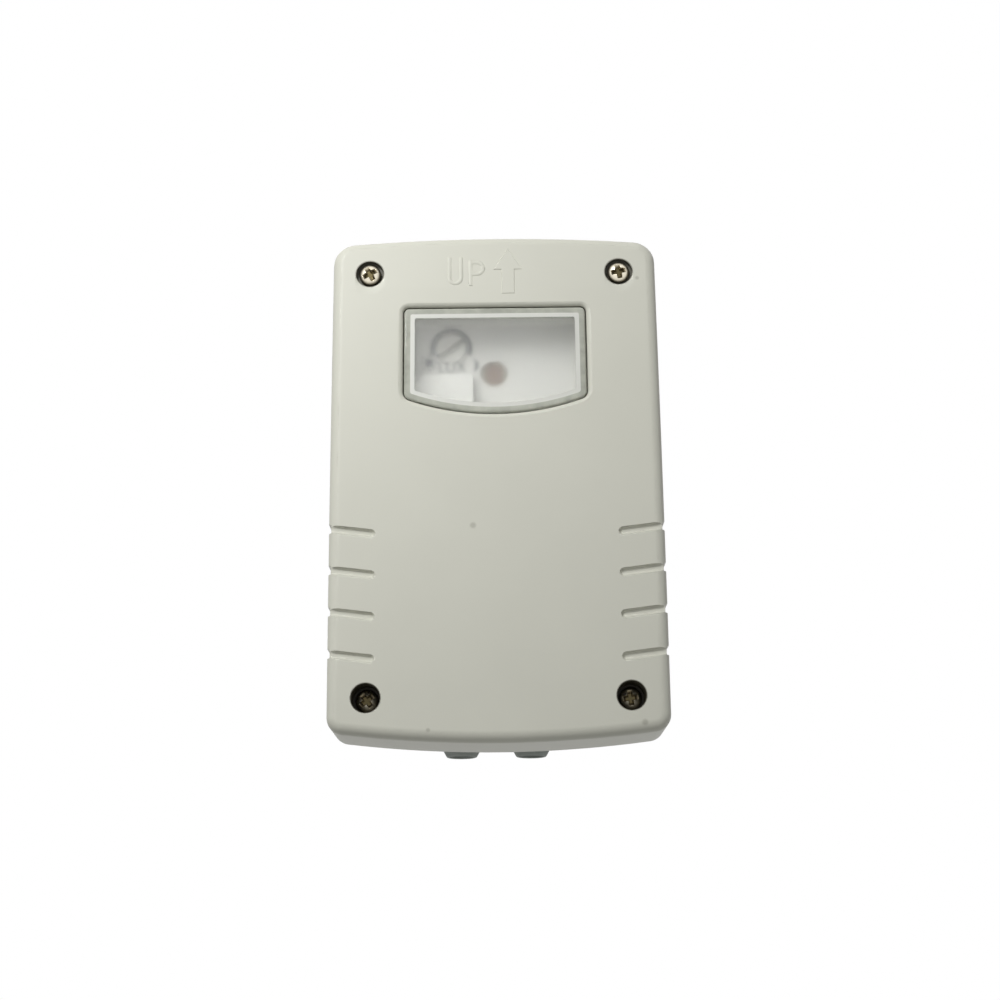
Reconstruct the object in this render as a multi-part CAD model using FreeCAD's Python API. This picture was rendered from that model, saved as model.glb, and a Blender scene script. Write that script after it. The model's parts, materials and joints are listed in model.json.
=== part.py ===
import FreeCAD, Part
import math
import os
from FreeCAD import Vector

os.makedirs("parts", exist_ok=True)

# The wall is the plane y = 0 and the switch stands off it towards -Y. X is to the right and Z is up.
# z = 0 is halfway between the upper and the lower cover screws, and x = 0 is the centreline.

# Outside of the case
case_width = 68.1
case_top = 53.85
case_bottom = 54.2
case_depth = 38.0
top_crown_radius = 380.0
bottom_crown_radius = 250.0
top_corner_radius = 4.4
bottom_corner_radius = 3.0
face_lean_radius = 1040.0
face_edge_radius = 2.8

# Front cover
cover_depth = 18.0
cover_wall = 1.9
cover_face = 2.3
cover_gap = 0.3

# Rear base
base_wall = 2.6
base_floor = 2.5
base_overlap = 5.0
seat_gap = 0.1

# Sealing groove in the base's rim, the strip in it and the cover's tongue
groove_width = 1.2
groove_depth = 2.0
gasket_height = 1.0
tongue_width = 0.9

# Four cover screws, measured in from the case's sides, top and bottom
cover_screw_side_margin = 7.8
cover_screw_top_margin = 8.6
cover_screw_bottom_margin = 8.95
cover_screw_head_radius = 2.3
cover_screw_head_height = 1.6
cover_screw_shank_radius = 1.25
cover_screw_length = 16.0
cover_screw_seat = 5.35
counterbore_radius = 2.85
column_radius = 4.2
pillar_radius = 4.0
thread_clearance = 0.05
shank_clearance = 0.15
cover_screw_tip_radius = 0.3
cover_screw_dome_extra = 0.6
recess_width = 0.7
recess_span = 2.7
recess_depth = 1.1
recess_turns = {"top_left": 28.0, "top_right": 12.0, "bottom_left": 38.0, "bottom_right": 8.0}

# Slanted grooves at the sides of the cover, counted up from the lower screws
rib_count = 4
rib_screw_gap = 7.805
rib_pitch = 8.53
rib_run = 8.6
rib_slope = 7.2
rib_width = 1.4
rib_depth = 1.0
rib_side_depth = 0.6
rib_side_length = 13.0

# Window, hung below the upper screws
window_half_width = 19.1
window_screw_gap = 7.85
window_side_height = 20.2
window_height = 23.8
window_corner_radius = 1.2
lens_recess = 0.5
lens_gap = 0.15
lens_plate = 1.5
lens_flange_width = 2.2
lens_flange_thickness = 1.3
seal_thickness = 0.3
seal_margin = 0.3

# Light well of the inner panel, measured in from the window's edge
well_margin = 1.25
well_wall = 0.6
well_gap = 0.2
well_pocket_gap = 0.25

# Inner panel, set back from the case's front, with a raised block over the relay
panel_setback = 11.5
panel_thickness = 1.6
panel_side_gap = 1.4
panel_screw_gap = 0.55
panel_terminal_gap = 6.5
panel_skirt = 1.2
panel_skirt_gap = 0.3
block_side_room = 0.675
block_end_room = 0.425
block_front_room = 0.5
block_wall = 1.2

# Circuit board, set back from the case's front
board_setback = 25.9
board_thickness = 1.6
board_half_width = 25.0
board_top_gap = 1.05
board_bottom_gap = 5.25
lead_radius = 0.3
lead_hole_gap = 0.1
lead_stub = 1.3

# Screws that hold the panel and the board
fixing_side_margin = 3.5
panel_fixing_top_margin = 4.5
panel_fixing_bottom_margin = 6.0
board_fixing_margin = 4.0
fixing_shank_radius = 1.25
fixing_hole_radius = 1.5
fixing_head_radius = 2.4
fixing_head_height = 1.5
fixing_slot_width = 0.7
fixing_slot_depth = 0.8
fixing_bite = 6.0
boss_radius = 3.0
fixing_pilot_extra = 0.4

# Wall screws
wall_screw_spacing = 92.0
wall_screw_radius = 2.25
wall_boss_radius = 4.8
wall_boss_height = 1.5

# Cable entries
cable_pitch = 14.5
cable_shift = -0.6
cable_rim_gap = 7.0
cable_bore_radius = 2.6
cable_pad_half_width = 15.0
cable_pad_rise = 0.2
cable_pad_inner_rise = 0.2
grommet_neck_radius = 4.55
grommet_neck_gap = 0.05
grommet_flange_radius = 5.4
grommet_flange_thickness = 0.6
grommet_inner_radius = 5.4
grommet_inner_thickness = 1.2
grommet_shoulder_radius = 4.0
grommet_nose_radius = 3.1
grommet_nose_height = 1.65

# Light sensor and its spacer
sensor_x = -0.25
sensor_drop = 12.4
sensor_radius = 2.55
sensor_thickness = 1.9
sensor_recess = 0.6
sensor_hole_gap = 0.2
sensor_spacer_radius = 2.6
sensor_lead_pitch = 3.4

# Lux adjuster
lux_x = -9.3
lux_drop = 6.7
lux_hole_radius = 3.6
lux_knob_radius = 3.3
lux_knob_recess = 0.3
lux_spindle_radius = 2.0
lux_spindle_clearance = 0.05
lux_body_width = 10.0
lux_body_height = 5.0
lux_slot_width = 1.0
lux_slot_depth = 1.4
lux_slot_turn = 36.0
lux_end_gap = 0.2
lux_lead_margin = 1.0

# Terminal block with rising cages
pole_count = 3
pole_pitch = 10.0
terminal_board_margin = 9.0
terminal_depth = 13.0
terminal_height = 14.0
terminal_floor = 1.0
cage_width = 5.6
cage_depth = 5.0
cage_height = 7.0
cage_window_width = 3.6
cage_window_height = 3.8
cage_back_bar = 1.5
cage_travel = 2.3
cage_gap = 0.15
cage_end_gap = 0.1
strip_thickness = 0.8
strip_width = 2.8
pin_width = 1.2
pin_hole_gap = 0.2
terminal_screw_radius = 1.25
terminal_head_radius = 1.8
terminal_head_height = 1.7
terminal_head_gap = 0.15
terminal_slot_width = 0.6
terminal_slot_depth = 0.8
terminal_screw_sink = 0.8
terminal_post_margin = 1.5

# Relay, with the heights inside it counted from its lower end
relay_x = -14.375
relay_drop = 24.525
relay_width = 15.5
relay_length = 19.0
relay_height = 15.5
relay_standoff = 0.3
relay_base_thickness = 2.0
relay_case_wall = 0.8
coil_up = 7.0
coil_radius = 5.0
coil_length = 5.4
bobbin_flange_radius = 5.5
bobbin_flange = 0.8
bobbin_tube_radius = 2.7
core_radius = 2.0
core_rise = 0.6
yoke_plate = 0.8
yoke_post = 1.2
yoke_width = 9.0
yoke_gap = 0.7
yoke_toe = 1.0
armature_gap = 0.65
armature_heel_gap = 0.2
armature_thickness = 1.2
armature_width = 10.0
armature_tip_up = 4.1
armature_heel = 0.4
leaf_thickness = 0.25
leaf_width = 4.0
leaf_tip_up = 1.2
contact_up = 2.4
contact_radius = 0.9
contact_height = 0.5
contact_open_gap = 0.85
contact_rest_gap = 0.1
contact_strip = 0.4
contact_half_width = 1.5
rest_contact_half_width = 1.0
rest_contact_wall_gap = 0.15
open_contact_wall_gap = 0.05
coil_pin_margin = 2.0
coil_pin_rise = 1.5
coil_pin_height = 1.0

# Small parts on the board: centre x, drop below the window's top, and sizes
film_x, film_drop, film_width, film_length, film_height = 13.0, 13.4, 8.0, 18.0, 12.0
film_lead_margin = 1.5
can_x, can_drop, can_radius, can_height = 5.0, 27.4, 4.0, 11.5
fuse_x, fuse_drop, fuse_radius, fuse_height = 12.0, 43.4, 4.2, 7.7
varistor_x, varistor_drop, varistor_radius, varistor_thickness = 20.6, 34.4, 4.5, 4.0
varistor_lift = 1.0
transistor_x, transistor_drop, transistor_radius, transistor_height = 21.0, 24.9, 2.3, 4.8
transistor_lift = 1.5
transistor_flat = 1.38
transistor_lead_pitch = 1.27
chip_x, chip_drop, chip_length, chip_width, chip_height = 13.0, 33.9, 9.8, 6.4, 3.4
chip_lift = 0.5
chip_leg_count = 4
chip_leg_pitch = 2.54
chip_leg_row = 7.62
chip_leg_width = 1.0
chip_leg_thickness = 0.3
diode_count = 4
diode_first_x, diode_pitch, diode_drop, diode_radius, diode_length = -14.0, 3.5, 44.4, 1.35, 5.0
zener_x, zener_drop, zener_radius, zener_length = 1.0, 44.4, 0.9, 3.8
resistor_x, resistor_radius, resistor_length = 2.8, 1.15, 6.3
resistor_drops = [0.4, 3.4, 6.4, 17.8, 20.6]
axial_span = 10.0
axial_lift = 0.3

# How far joined solids run into each other, and how far cutting tools overshoot
weld = 0.1
overshoot = 1.0

# Levels that several pieces share, as y
rim_y = -case_depth + cover_depth
base_front_y = rim_y - base_overlap
board_front_y = -case_depth + board_setback
board_back_y = board_front_y + board_thickness
panel_front_y = -case_depth + panel_setback
panel_back_y = panel_front_y + panel_thickness
seat_y = -case_depth + cover_screw_seat
cable_axis_y = rim_y + cable_rim_gap
base_inset = cover_wall + cover_gap

# Places that several pieces share, seen from the front
cover_screw_x = case_width / 2 - cover_screw_side_margin
upper_screw_z = case_top - cover_screw_top_margin
lower_screw_z = -case_bottom + cover_screw_bottom_margin
screw_corners = [
    ("top_left", -cover_screw_x, upper_screw_z),
    ("top_right", cover_screw_x, upper_screw_z),
    ("bottom_left", -cover_screw_x, lower_screw_z),
    ("bottom_right", cover_screw_x, lower_screw_z),
]
rib_end_x = case_width / 2 - rib_run
window_top = upper_screw_z - window_screw_gap
window_corner_z = window_top - window_side_height
window_bottom = window_top - window_height
panel_half_width = case_width / 2 - base_inset - base_wall - panel_side_gap
panel_top = upper_screw_z - column_radius - panel_screw_gap
board_top = upper_screw_z - column_radius - board_top_gap
board_bottom = lower_screw_z + pillar_radius + board_bottom_gap
terminal_z = board_bottom + terminal_board_margin
panel_bottom = terminal_z + terminal_depth / 2 + panel_terminal_gap
fixing_x = board_half_width - fixing_side_margin
panel_fixing_rows = [panel_top - panel_fixing_top_margin, panel_bottom + panel_fixing_bottom_margin]
panel_fixings = [(side * fixing_x, z) for z in panel_fixing_rows for side in (-1, 1)]
board_fixings = [(side * fixing_x, board_bottom + board_fixing_margin) for side in (-1, 1)]
lux_z = window_top - lux_drop
sensor_z = window_top - sensor_drop
relay_z = window_top - relay_drop
lead_spots = []


def box(x0, x1, y0, y1, z0, z1):
    low = Vector(min(x0, x1), min(y0, y1), min(z0, z1))
    return Part.makeBox(abs(x1 - x0), abs(y1 - y0), abs(z1 - z0), low)


def rod_y(x, z, radius, y0, y1):
    low = min(y0, y1)
    return Part.makeCylinder(radius, abs(y1 - y0), Vector(x, low, z), Vector(0, 1, 0))


def rod_z(x, y, radius, z0, z1):
    low = min(z0, z1)
    return Part.makeCylinder(radius, abs(z1 - z0), Vector(x, y, low), Vector(0, 0, 1))


def arc(a, middle, b):
    return Part.Arc(a, middle, b).toShape()


def face_y(z, inset=0.0):
    radius = face_lean_radius - inset
    height = z - lower_screw_z
    return -case_depth + face_lean_radius - math.sqrt(radius * radius - height * height)


# Everything behind the front face, which leans back as an arc whose crest is level with the lower screws
def behind_face(inset):
    reach = case_width
    back_a = Vector(-reach, 0, -reach)
    back_b = Vector(-reach, 0, reach)
    front_b = Vector(-reach, face_y(reach, inset), reach)
    front_m = Vector(-reach, face_y(0, inset), 0)
    front_a = Vector(-reach, face_y(-reach, inset), -reach)
    edges = [
        Part.makeLine(back_a, back_b),
        Part.makeLine(back_b, front_b),
        arc(front_b, front_m, front_a),
        Part.makeLine(front_a, back_a),
    ]
    return Part.Face(Part.Wire(edges)).extrude(Vector(2 * reach, 0, 0))


# A point on the crowned top or bottom edge of the case, set in by the inset
def crown_z(x, inset, top):
    height = case_top if top else case_bottom
    radius = top_crown_radius if top else bottom_crown_radius
    edge = math.sqrt((radius - inset) ** 2 - x * x) - radius + height
    return edge if top else -edge


def runs_along_y(ends):
    return abs(ends[0].x - ends[1].x) < 1e-6 and abs(ends[0].z - ends[1].z) < 1e-6


# The case's outline, set in by the inset and drawn out from y0 to y1
def case_block(inset, y0, y1):
    half = case_width / 2 - inset
    top_z = crown_z(half, inset, True)
    bottom_z = crown_z(half, inset, False)
    corners = [
        Vector(half, y0, top_z),
        Vector(-half, y0, top_z),
        Vector(-half, y0, bottom_z),
        Vector(half, y0, bottom_z),
    ]
    edges = [
        arc(corners[0], Vector(0, y0, crown_z(0, inset, True)), corners[1]),
        Part.makeLine(corners[1], corners[2]),
        arc(corners[2], Vector(0, y0, crown_z(0, inset, False)), corners[3]),
        Part.makeLine(corners[3], corners[0]),
    ]
    block = Part.Face(Part.Wire(edges)).extrude(Vector(0, y1 - y0, 0))
    for upper, radius in ((True, top_corner_radius), (False, bottom_corner_radius)):
        upright = []
        for edge in block.Edges:
            ends = [vertex.Point for vertex in edge.Vertexes]
            if runs_along_y(ends) and (ends[0].z > 0) == upper:
                upright.append(edge)
        block = block.makeFillet(max(radius - inset, 0.4), upright)
    return block


# The window's outline, grown by the margin and drawn through the case
def window_block(grow, y0, y1):
    half = window_half_width + grow
    top_z = window_top + grow
    rise = window_corner_z - window_bottom
    radius = (window_half_width ** 2 + rise ** 2) / (2 * rise)
    corner_z = window_bottom + radius - math.sqrt((radius + grow) ** 2 - half ** 2)
    edges = [
        Part.makeLine(Vector(-half, y0, corner_z), Vector(-half, y0, top_z)),
        Part.makeLine(Vector(-half, y0, top_z), Vector(half, y0, top_z)),
        Part.makeLine(Vector(half, y0, top_z), Vector(half, y0, corner_z)),
        arc(Vector(half, y0, corner_z), Vector(0, y0, window_bottom - grow), Vector(-half, y0, corner_z)),
    ]
    block = Part.Face(Part.Wire(edges)).extrude(Vector(0, y1 - y0, 0))
    upright = []
    for edge in block.Edges:
        if runs_along_y([vertex.Point for vertex in edge.Vertexes]):
            upright.append(edge)
    return block.makeFillet(max(window_corner_radius + grow, 0.3), upright)


def fuse(shapes):
    return shapes[0].multiFuse(shapes[1:]).removeSplitter()


def cut(shape, tools):
    for tool in tools:
        shape = shape.cut(tool)
    return shape


def turned(shape, x, z, degrees):
    turned_shape = shape.copy()
    turned_shape.rotate(Vector(x, 0, z), Vector(0, -1, 0), degrees)
    return turned_shape


def keep(name, shape):
    shape.exportStep("parts/" + name + ".step")


# A round lead that goes down through the board and stands out a little behind it
def lead(x, z, front_y):
    lead_spots.append((x, z))
    return rod_y(x, z, lead_radius, front_y, board_back_y + lead_stub)


# A lead that starts inside a body standing straight on the board
def board_lead(x, z):
    return lead(x, z, board_front_y - weld)


# Slanted groove that starts with a round end on the face and runs out over the side wall
def side_groove(side, z):
    end_x = side * rib_end_x
    far_x = side * (case_width / 2 + rib_width)
    floor_y = face_y(z) + rib_depth
    front_y = -case_depth - rib_width
    bar = box(end_x, far_x + side * overshoot, front_y, floor_y, z - rib_width / 2, z + rib_width / 2)
    tool = fuse([bar, rod_y(end_x, z, rib_width / 2, front_y, floor_y)])
    tool = turned(tool, end_x, z, side * rib_slope)
    side_z = z + rib_run * math.tan(math.radians(rib_slope))
    wall_x = side * (case_width / 2 - rib_side_depth)
    flank = box(wall_x, far_x, front_y, -case_depth + rib_side_length,
                side_z - rib_width / 2, side_z + rib_width / 2)
    return [tool, flank]


def make_front_cover():
    beyond_y = -case_depth - overshoot
    outer = case_block(0, rim_y, beyond_y).common(behind_face(0))
    front = min(outer.Faces, key=lambda face: face.CenterOfMass.y)
    outer = outer.makeFillet(face_edge_radius, front.Edges)
    hollow = case_block(cover_wall, rim_y + overshoot, beyond_y).common(behind_face(cover_face))
    shell = outer.cut(hollow)
    half_face = behind_face(cover_face / 2)
    tongue_inset = base_inset + (base_wall - tongue_width) / 2
    tongue_y = base_front_y + groove_depth - gasket_height - seat_gap
    tongue = case_block(tongue_inset, tongue_y, -case_depth).common(half_face)
    tongue = tongue.cut(case_block(tongue_inset + tongue_width, tongue_y + overshoot, beyond_y))
    columns = []
    for name, x, z in screw_corners:
        columns.append(rod_y(x, z, column_radius, base_front_y - seat_gap, -case_depth).common(half_face))
    cover = fuse([shell, tongue] + columns)
    tools = [window_block(0, rim_y, beyond_y)]
    for name, x, z in screw_corners:
        tools.append(rod_y(x, z, counterbore_radius, seat_y, beyond_y))
        tools.append(rod_y(x, z, cover_screw_shank_radius + shank_clearance, rim_y, -case_depth))
    for side in (-1, 1):
        for row in range(rib_count):
            tools += side_groove(side, lower_screw_z + rib_screw_gap + row * rib_pitch)
    return cut(cover, tools)


def make_window_lens():
    edge = -lens_gap
    well_outer = -well_margin
    flange_front = cover_face + seal_thickness
    flange_back = flange_front + lens_flange_thickness
    depth_y = -case_depth / 2
    beyond_y = -case_depth - overshoot
    body = window_block(edge, depth_y, beyond_y).common(behind_face(lens_recess))
    flange = window_block(lens_flange_width, depth_y, beyond_y).common(behind_face(flange_front))
    pocket = window_block(well_outer + well_pocket_gap, depth_y, beyond_y)
    pocket = pocket.common(behind_face(lens_recess + lens_plate))
    lens = fuse([body, flange]).cut(behind_face(flange_back))
    return lens.cut(pocket)


def make_window_seal():
    depth_y = -case_depth / 2
    ring = window_block(lens_flange_width - seal_margin, depth_y, -case_depth)
    ring = ring.cut(window_block(seal_margin, depth_y + overshoot, -case_depth - overshoot))
    return ring.common(behind_face(cover_face)).cut(behind_face(cover_face + seal_thickness))


def cable_spots():
    return [("left", cable_shift - cable_pitch / 2), ("right", cable_shift + cable_pitch / 2)]


# Flat faces of the thickened strip of wall that the grommets sit in
def cable_wall():
    outside = crown_z(0, base_inset, False) - cable_pad_rise
    inside = crown_z(cable_pad_half_width, base_inset + base_wall, False) + cable_pad_inner_rise
    return outside, inside


def make_rear_base():
    shell = case_block(base_inset, 0, base_front_y)
    beyond_y = base_front_y - overshoot
    shell = shell.cut(case_block(base_inset + base_wall, -base_floor, beyond_y))
    outside_z, inside_z = cable_wall()
    pad_reach = grommet_flange_radius + cover_gap
    pad = box(-cable_pad_half_width, cable_pad_half_width, cable_axis_y - pad_reach,
              cable_axis_y + pad_reach, outside_z, inside_z)
    solids = [shell, pad]
    tools = []
    root_y = -base_floor / 2
    for name, x, z in screw_corners:
        solids.append(rod_y(x, z, pillar_radius, root_y, base_front_y))
        tools.append(rod_y(x, z, cover_screw_shank_radius + thread_clearance,
                           seat_y + cover_screw_length + fixing_pilot_extra, beyond_y))
    for x, z in panel_fixings + board_fixings:
        solids.append(rod_y(x, z, boss_radius, root_y, board_back_y))
        tools.append(rod_y(x, z, fixing_shank_radius + thread_clearance,
                           board_back_y + fixing_bite + fixing_pilot_extra, board_back_y - overshoot))
    for z in (-wall_screw_spacing / 2, wall_screw_spacing / 2):
        solids.append(rod_y(0, z, wall_boss_radius, root_y, -base_floor - wall_boss_height))
        tools.append(rod_y(0, z, wall_screw_radius, overshoot, -base_floor - wall_boss_height - overshoot))
    for name, x in cable_spots():
        tools.append(rod_z(x, cable_axis_y, grommet_neck_radius + grommet_neck_gap,
                           outside_z - overshoot, inside_z + overshoot))
    groove_inset = base_inset + (base_wall - groove_width) / 2
    groove_y = base_front_y + groove_depth
    groove = case_block(groove_inset, groove_y, beyond_y)
    groove = groove.cut(case_block(groove_inset + groove_width, groove_y + overshoot, beyond_y - overshoot))
    return cut(fuse(solids), tools + [groove])


def make_cover_gasket():
    inset = base_inset + (base_wall - groove_width) / 2
    back_y = base_front_y + groove_depth
    ring = case_block(inset, back_y, back_y - gasket_height)
    return ring.cut(case_block(inset + groove_width, back_y + overshoot, back_y - gasket_height - overshoot))


def make_cover_screw(name, x, z):
    height = cover_screw_head_height
    dome_radius = (cover_screw_head_radius ** 2 + height ** 2) / (2 * height) + cover_screw_dome_extra
    top_y = seat_y - height
    tip_y = seat_y + cover_screw_length - cover_screw_shank_radius
    head = rod_y(x, z, cover_screw_head_radius, seat_y, top_y)
    head = head.common(Part.makeSphere(dome_radius, Vector(x, top_y + dome_radius, z)))
    shank = rod_y(x, z, cover_screw_shank_radius, seat_y - weld, tip_y)
    point = Part.makeCone(cover_screw_shank_radius, cover_screw_tip_radius, cover_screw_shank_radius,
                          Vector(x, tip_y, z), Vector(0, 1, 0))
    recess = []
    for extra in (0, 90):
        bar = box(x - recess_span / 2, x + recess_span / 2, top_y - overshoot, top_y + recess_depth,
                  z - recess_width / 2, z + recess_width / 2)
        recess.append(turned(bar, x, z, recess_turns[name] + extra))
    return cut(fuse([head, shank, point]), recess)


def make_cable_grommet(x):
    outside_z, inside_z = cable_wall()
    y = cable_axis_y
    flange_z = outside_z - grommet_flange_thickness
    nose_z = flange_z - grommet_nose_height
    inner_z = inside_z + grommet_inner_thickness
    nose = Part.makeCone(grommet_nose_radius, grommet_shoulder_radius, grommet_nose_height,
                         Vector(x, y, nose_z))
    solids = [
        rod_z(x, y, grommet_inner_radius, inside_z, inner_z),
        rod_z(x, y, grommet_neck_radius, outside_z, inside_z),
        rod_z(x, y, grommet_flange_radius, flange_z, outside_z),
        nose,
    ]
    bore = rod_z(x, y, cable_bore_radius, nose_z - overshoot, inner_z + overshoot)
    return fuse(solids).cut(bore)


def make_inner_panel():
    half = panel_half_width
    tray = box(-half, half, panel_front_y, board_front_y - panel_skirt_gap, panel_bottom, panel_top)
    inner = half - panel_skirt
    tray = tray.cut(box(-inner, inner, panel_back_y, 0, panel_bottom + panel_skirt, panel_top - panel_skirt))
    reach_x = relay_width / 2 + block_side_room
    reach_z = relay_length / 2 + block_end_room
    block_front_y = relay_front_y - block_front_room
    wall = block_wall
    block = box(relay_x - reach_x - wall, relay_x + reach_x + wall, block_front_y - wall, panel_back_y,
                relay_z - reach_z - wall, relay_z + reach_z + wall)
    block_hollow = box(relay_x - reach_x, relay_x + reach_x, block_front_y, 0,
                       relay_z - reach_z, relay_z + reach_z)
    well_front = behind_face(lens_recess + lens_plate + well_gap)
    well = window_block(-well_margin, panel_back_y, -case_depth).common(well_front)
    well_hollow = window_block(-well_margin - well_wall, panel_back_y + overshoot, -case_depth - overshoot)
    collar = well.cut(well_hollow)
    tubes = []
    tools = [block_hollow]
    for x, z in panel_fixings:
        tubes.append(rod_y(x, z, boss_radius, board_front_y, panel_back_y - weld))
        tools.append(rod_y(x, z, fixing_hole_radius, 0, -case_depth))
    tools.append(rod_y(lux_x, lux_z, lux_hole_radius, 0, -case_depth))
    tools.append(rod_y(sensor_x, sensor_z, sensor_radius + sensor_hole_gap, 0, -case_depth))
    return cut(fuse([tray, block, collar] + tubes), tools)


# Pan-head screw whose head sits on head_y and whose shank runs back from it
def small_screw(x, z, head_y, length):
    top_y = head_y - fixing_head_height
    head = rod_y(x, z, fixing_head_radius, head_y, top_y)
    shank = rod_y(x, z, fixing_shank_radius, head_y - weld, head_y + length)
    reach = fixing_head_radius + overshoot
    slot = box(x - reach, x + reach, top_y - overshoot, top_y + fixing_slot_depth,
               z - fixing_slot_width / 2, z + fixing_slot_width / 2)
    return fuse([head, shank]).cut(slot)


def make_panel_screws():
    length = board_back_y - panel_front_y + fixing_bite
    return Part.makeCompound([small_screw(x, z, panel_front_y, length) for x, z in panel_fixings])


def make_board_screws():
    length = board_thickness + fixing_bite
    return Part.makeCompound([small_screw(x, z, board_front_y, length) for x, z in board_fixings])


def make_light_sensor():
    front_y = panel_front_y + sensor_recess
    disc = rod_y(sensor_x, sensor_z, sensor_radius, front_y, front_y + sensor_thickness)
    leads = [lead(sensor_x + side * sensor_lead_pitch / 2, sensor_z, front_y + sensor_thickness - weld)
             for side in (-1, 1)]
    return fuse([disc] + leads)


def make_sensor_spacer():
    front_y = panel_front_y + sensor_recess + sensor_thickness
    post = rod_y(sensor_x, sensor_z, sensor_spacer_radius, front_y, board_front_y)
    hole_radius = lead_radius + lead_hole_gap
    holes = [rod_y(sensor_x + side * sensor_lead_pitch / 2, sensor_z, hole_radius, 0, -case_depth)
             for side in (-1, 1)]
    return cut(post, holes)


def make_lux_potentiometer():
    half = lux_body_width / 2
    body_front = board_front_y - lux_body_height
    body = box(lux_x - half, lux_x + half, board_front_y, body_front, lux_z - half, lux_z + half)
    body = body.cut(rod_y(lux_x, lux_z, lux_spindle_radius + lux_spindle_clearance,
                          board_front_y - lux_end_gap, body_front - overshoot))
    reach = half - lux_lead_margin
    leads = [board_lead(lux_x - reach, lux_z - reach), board_lead(lux_x + reach, lux_z - reach)]
    return fuse([body] + leads + [board_lead(lux_x, lux_z + reach)])


def make_lux_knob():
    body_front = board_front_y - lux_body_height
    front_y = panel_front_y + lux_knob_recess
    head_back = body_front - lux_end_gap
    spindle = rod_y(lux_x, lux_z, lux_spindle_radius, board_front_y - 2 * lux_end_gap, head_back - weld)
    head = rod_y(lux_x, lux_z, lux_knob_radius, head_back, front_y)
    reach = lux_knob_radius + overshoot
    slot = box(lux_x - reach, lux_x + reach, front_y - overshoot, front_y + lux_slot_depth,
               lux_z - lux_slot_width / 2, lux_z + lux_slot_width / 2)
    return fuse([spindle, head]).cut(turned(slot, lux_x, lux_z, lux_slot_turn))


def pole_xs():
    return [(pole - (pole_count - 1) / 2) * pole_pitch for pole in range(pole_count)]


# Levels inside a pole, as y: the cage's back at rest, the strip's back and the screw's shoulder
cage_back_y = board_front_y - terminal_floor - cage_end_gap
cavity_front_y = cage_back_y - cage_height - cage_travel - cage_end_gap
window_back_y = cage_back_y - cage_back_bar
window_front_y = window_back_y - cage_window_height
strip_front_y = window_front_y + cage_end_gap
strip_back_y = strip_front_y + strip_thickness
terminal_front_y = board_front_y - terminal_height
head_front_y = terminal_front_y + terminal_screw_sink
shoulder_y = head_front_y + terminal_head_height
post_z = terminal_z + terminal_depth / 2 - terminal_post_margin


def make_terminal_block():
    half = pole_count * pole_pitch / 2
    half_depth = terminal_depth / 2
    block = box(-half, half, board_front_y, terminal_front_y,
                terminal_z - half_depth, terminal_z + half_depth)
    tools = []
    for x in pole_xs():
        reach = cage_width / 2 + cage_gap
        depth = cage_depth / 2 + cage_gap
        tools.append(box(x - reach, x + reach, board_front_y - terminal_floor, cavity_front_y,
                         terminal_z - depth, terminal_z + depth))
        tools.append(box(x - cage_window_width / 2, x + cage_window_width / 2, window_back_y, strip_back_y,
                         terminal_z - half_depth - overshoot, terminal_z))
        tools.append(rod_y(x, terminal_z, terminal_head_radius + terminal_head_gap,
                           shoulder_y + cage_end_gap, terminal_front_y - overshoot))
        tools.append(rod_y(x, terminal_z, terminal_screw_radius + shank_clearance,
                           cavity_front_y + overshoot, shoulder_y - overshoot))
        tools.append(box(x - strip_width / 2, x + strip_width / 2, strip_front_y, strip_back_y,
                         terminal_z, post_z + strip_thickness))
        tools.append(box(x - strip_width / 2, x + strip_width / 2, strip_front_y, 0,
                         post_z, post_z + strip_thickness))
    return cut(block, tools)


def make_terminal_contacts():
    solids = []
    for x in pole_xs():
        strip = box(x - strip_width / 2, x + strip_width / 2, strip_front_y, strip_back_y,
                    terminal_z - cage_depth / 2, post_z + strip_thickness)
        post = box(x - strip_width / 2, x + strip_width / 2, strip_front_y, board_front_y,
                   post_z, post_z + strip_thickness)
        pin = box(x - pin_width / 2, x + pin_width / 2, board_front_y - weld, board_back_y + lead_stub,
                  post_z, post_z + strip_thickness)
        solids.append(fuse([strip, post, pin]))
    return Part.makeCompound(solids)


def make_terminal_screw(x):
    head = rod_y(x, terminal_z, terminal_head_radius, shoulder_y, head_front_y)
    shank = rod_y(x, terminal_z, terminal_screw_radius, shoulder_y - weld, strip_front_y - cage_end_gap)
    reach = terminal_head_radius + overshoot
    slot = box(x - reach, x + reach, head_front_y - overshoot, head_front_y + terminal_slot_depth,
               terminal_z - terminal_slot_width / 2, terminal_z + terminal_slot_width / 2)
    return fuse([head, shank]).cut(slot)


def make_terminal_clamp(x):
    cage = box(x - cage_width / 2, x + cage_width / 2, cage_back_y, cage_back_y - cage_height,
               terminal_z - cage_depth / 2, terminal_z + cage_depth / 2)
    window = box(x - cage_window_width / 2, x + cage_window_width / 2, window_back_y, window_front_y,
                 terminal_z - cage_depth, terminal_z + cage_depth)
    thread = rod_y(x, terminal_z, terminal_screw_radius + thread_clearance,
                   window_back_y - overshoot, -case_depth)
    return cut(cage, [window, thread])


# Levels and edges inside the relay
relay_back_y = board_front_y - relay_standoff
relay_deck_y = relay_back_y - relay_base_thickness
relay_front_y = relay_back_y - relay_height
relay_left = relay_x - relay_width / 2
relay_low = relay_z - relay_length / 2
coil_z = relay_low + coil_up
armature_tip_z = relay_low + armature_tip_up
leaf_tip_z = relay_low + leaf_tip_up
contact_z = relay_low + contact_up
bobbin_back_y = relay_deck_y - yoke_plate
bobbin_front_y = bobbin_back_y - coil_length - 2 * bobbin_flange
core_front_y = bobbin_front_y - core_rise
armature_back_y = core_front_y - armature_gap
yoke_post_z = coil_z + bobbin_flange_radius + yoke_gap
pivot_z = yoke_post_z + yoke_post
leaf_front_y = armature_back_y - armature_thickness - leaf_thickness


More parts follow.
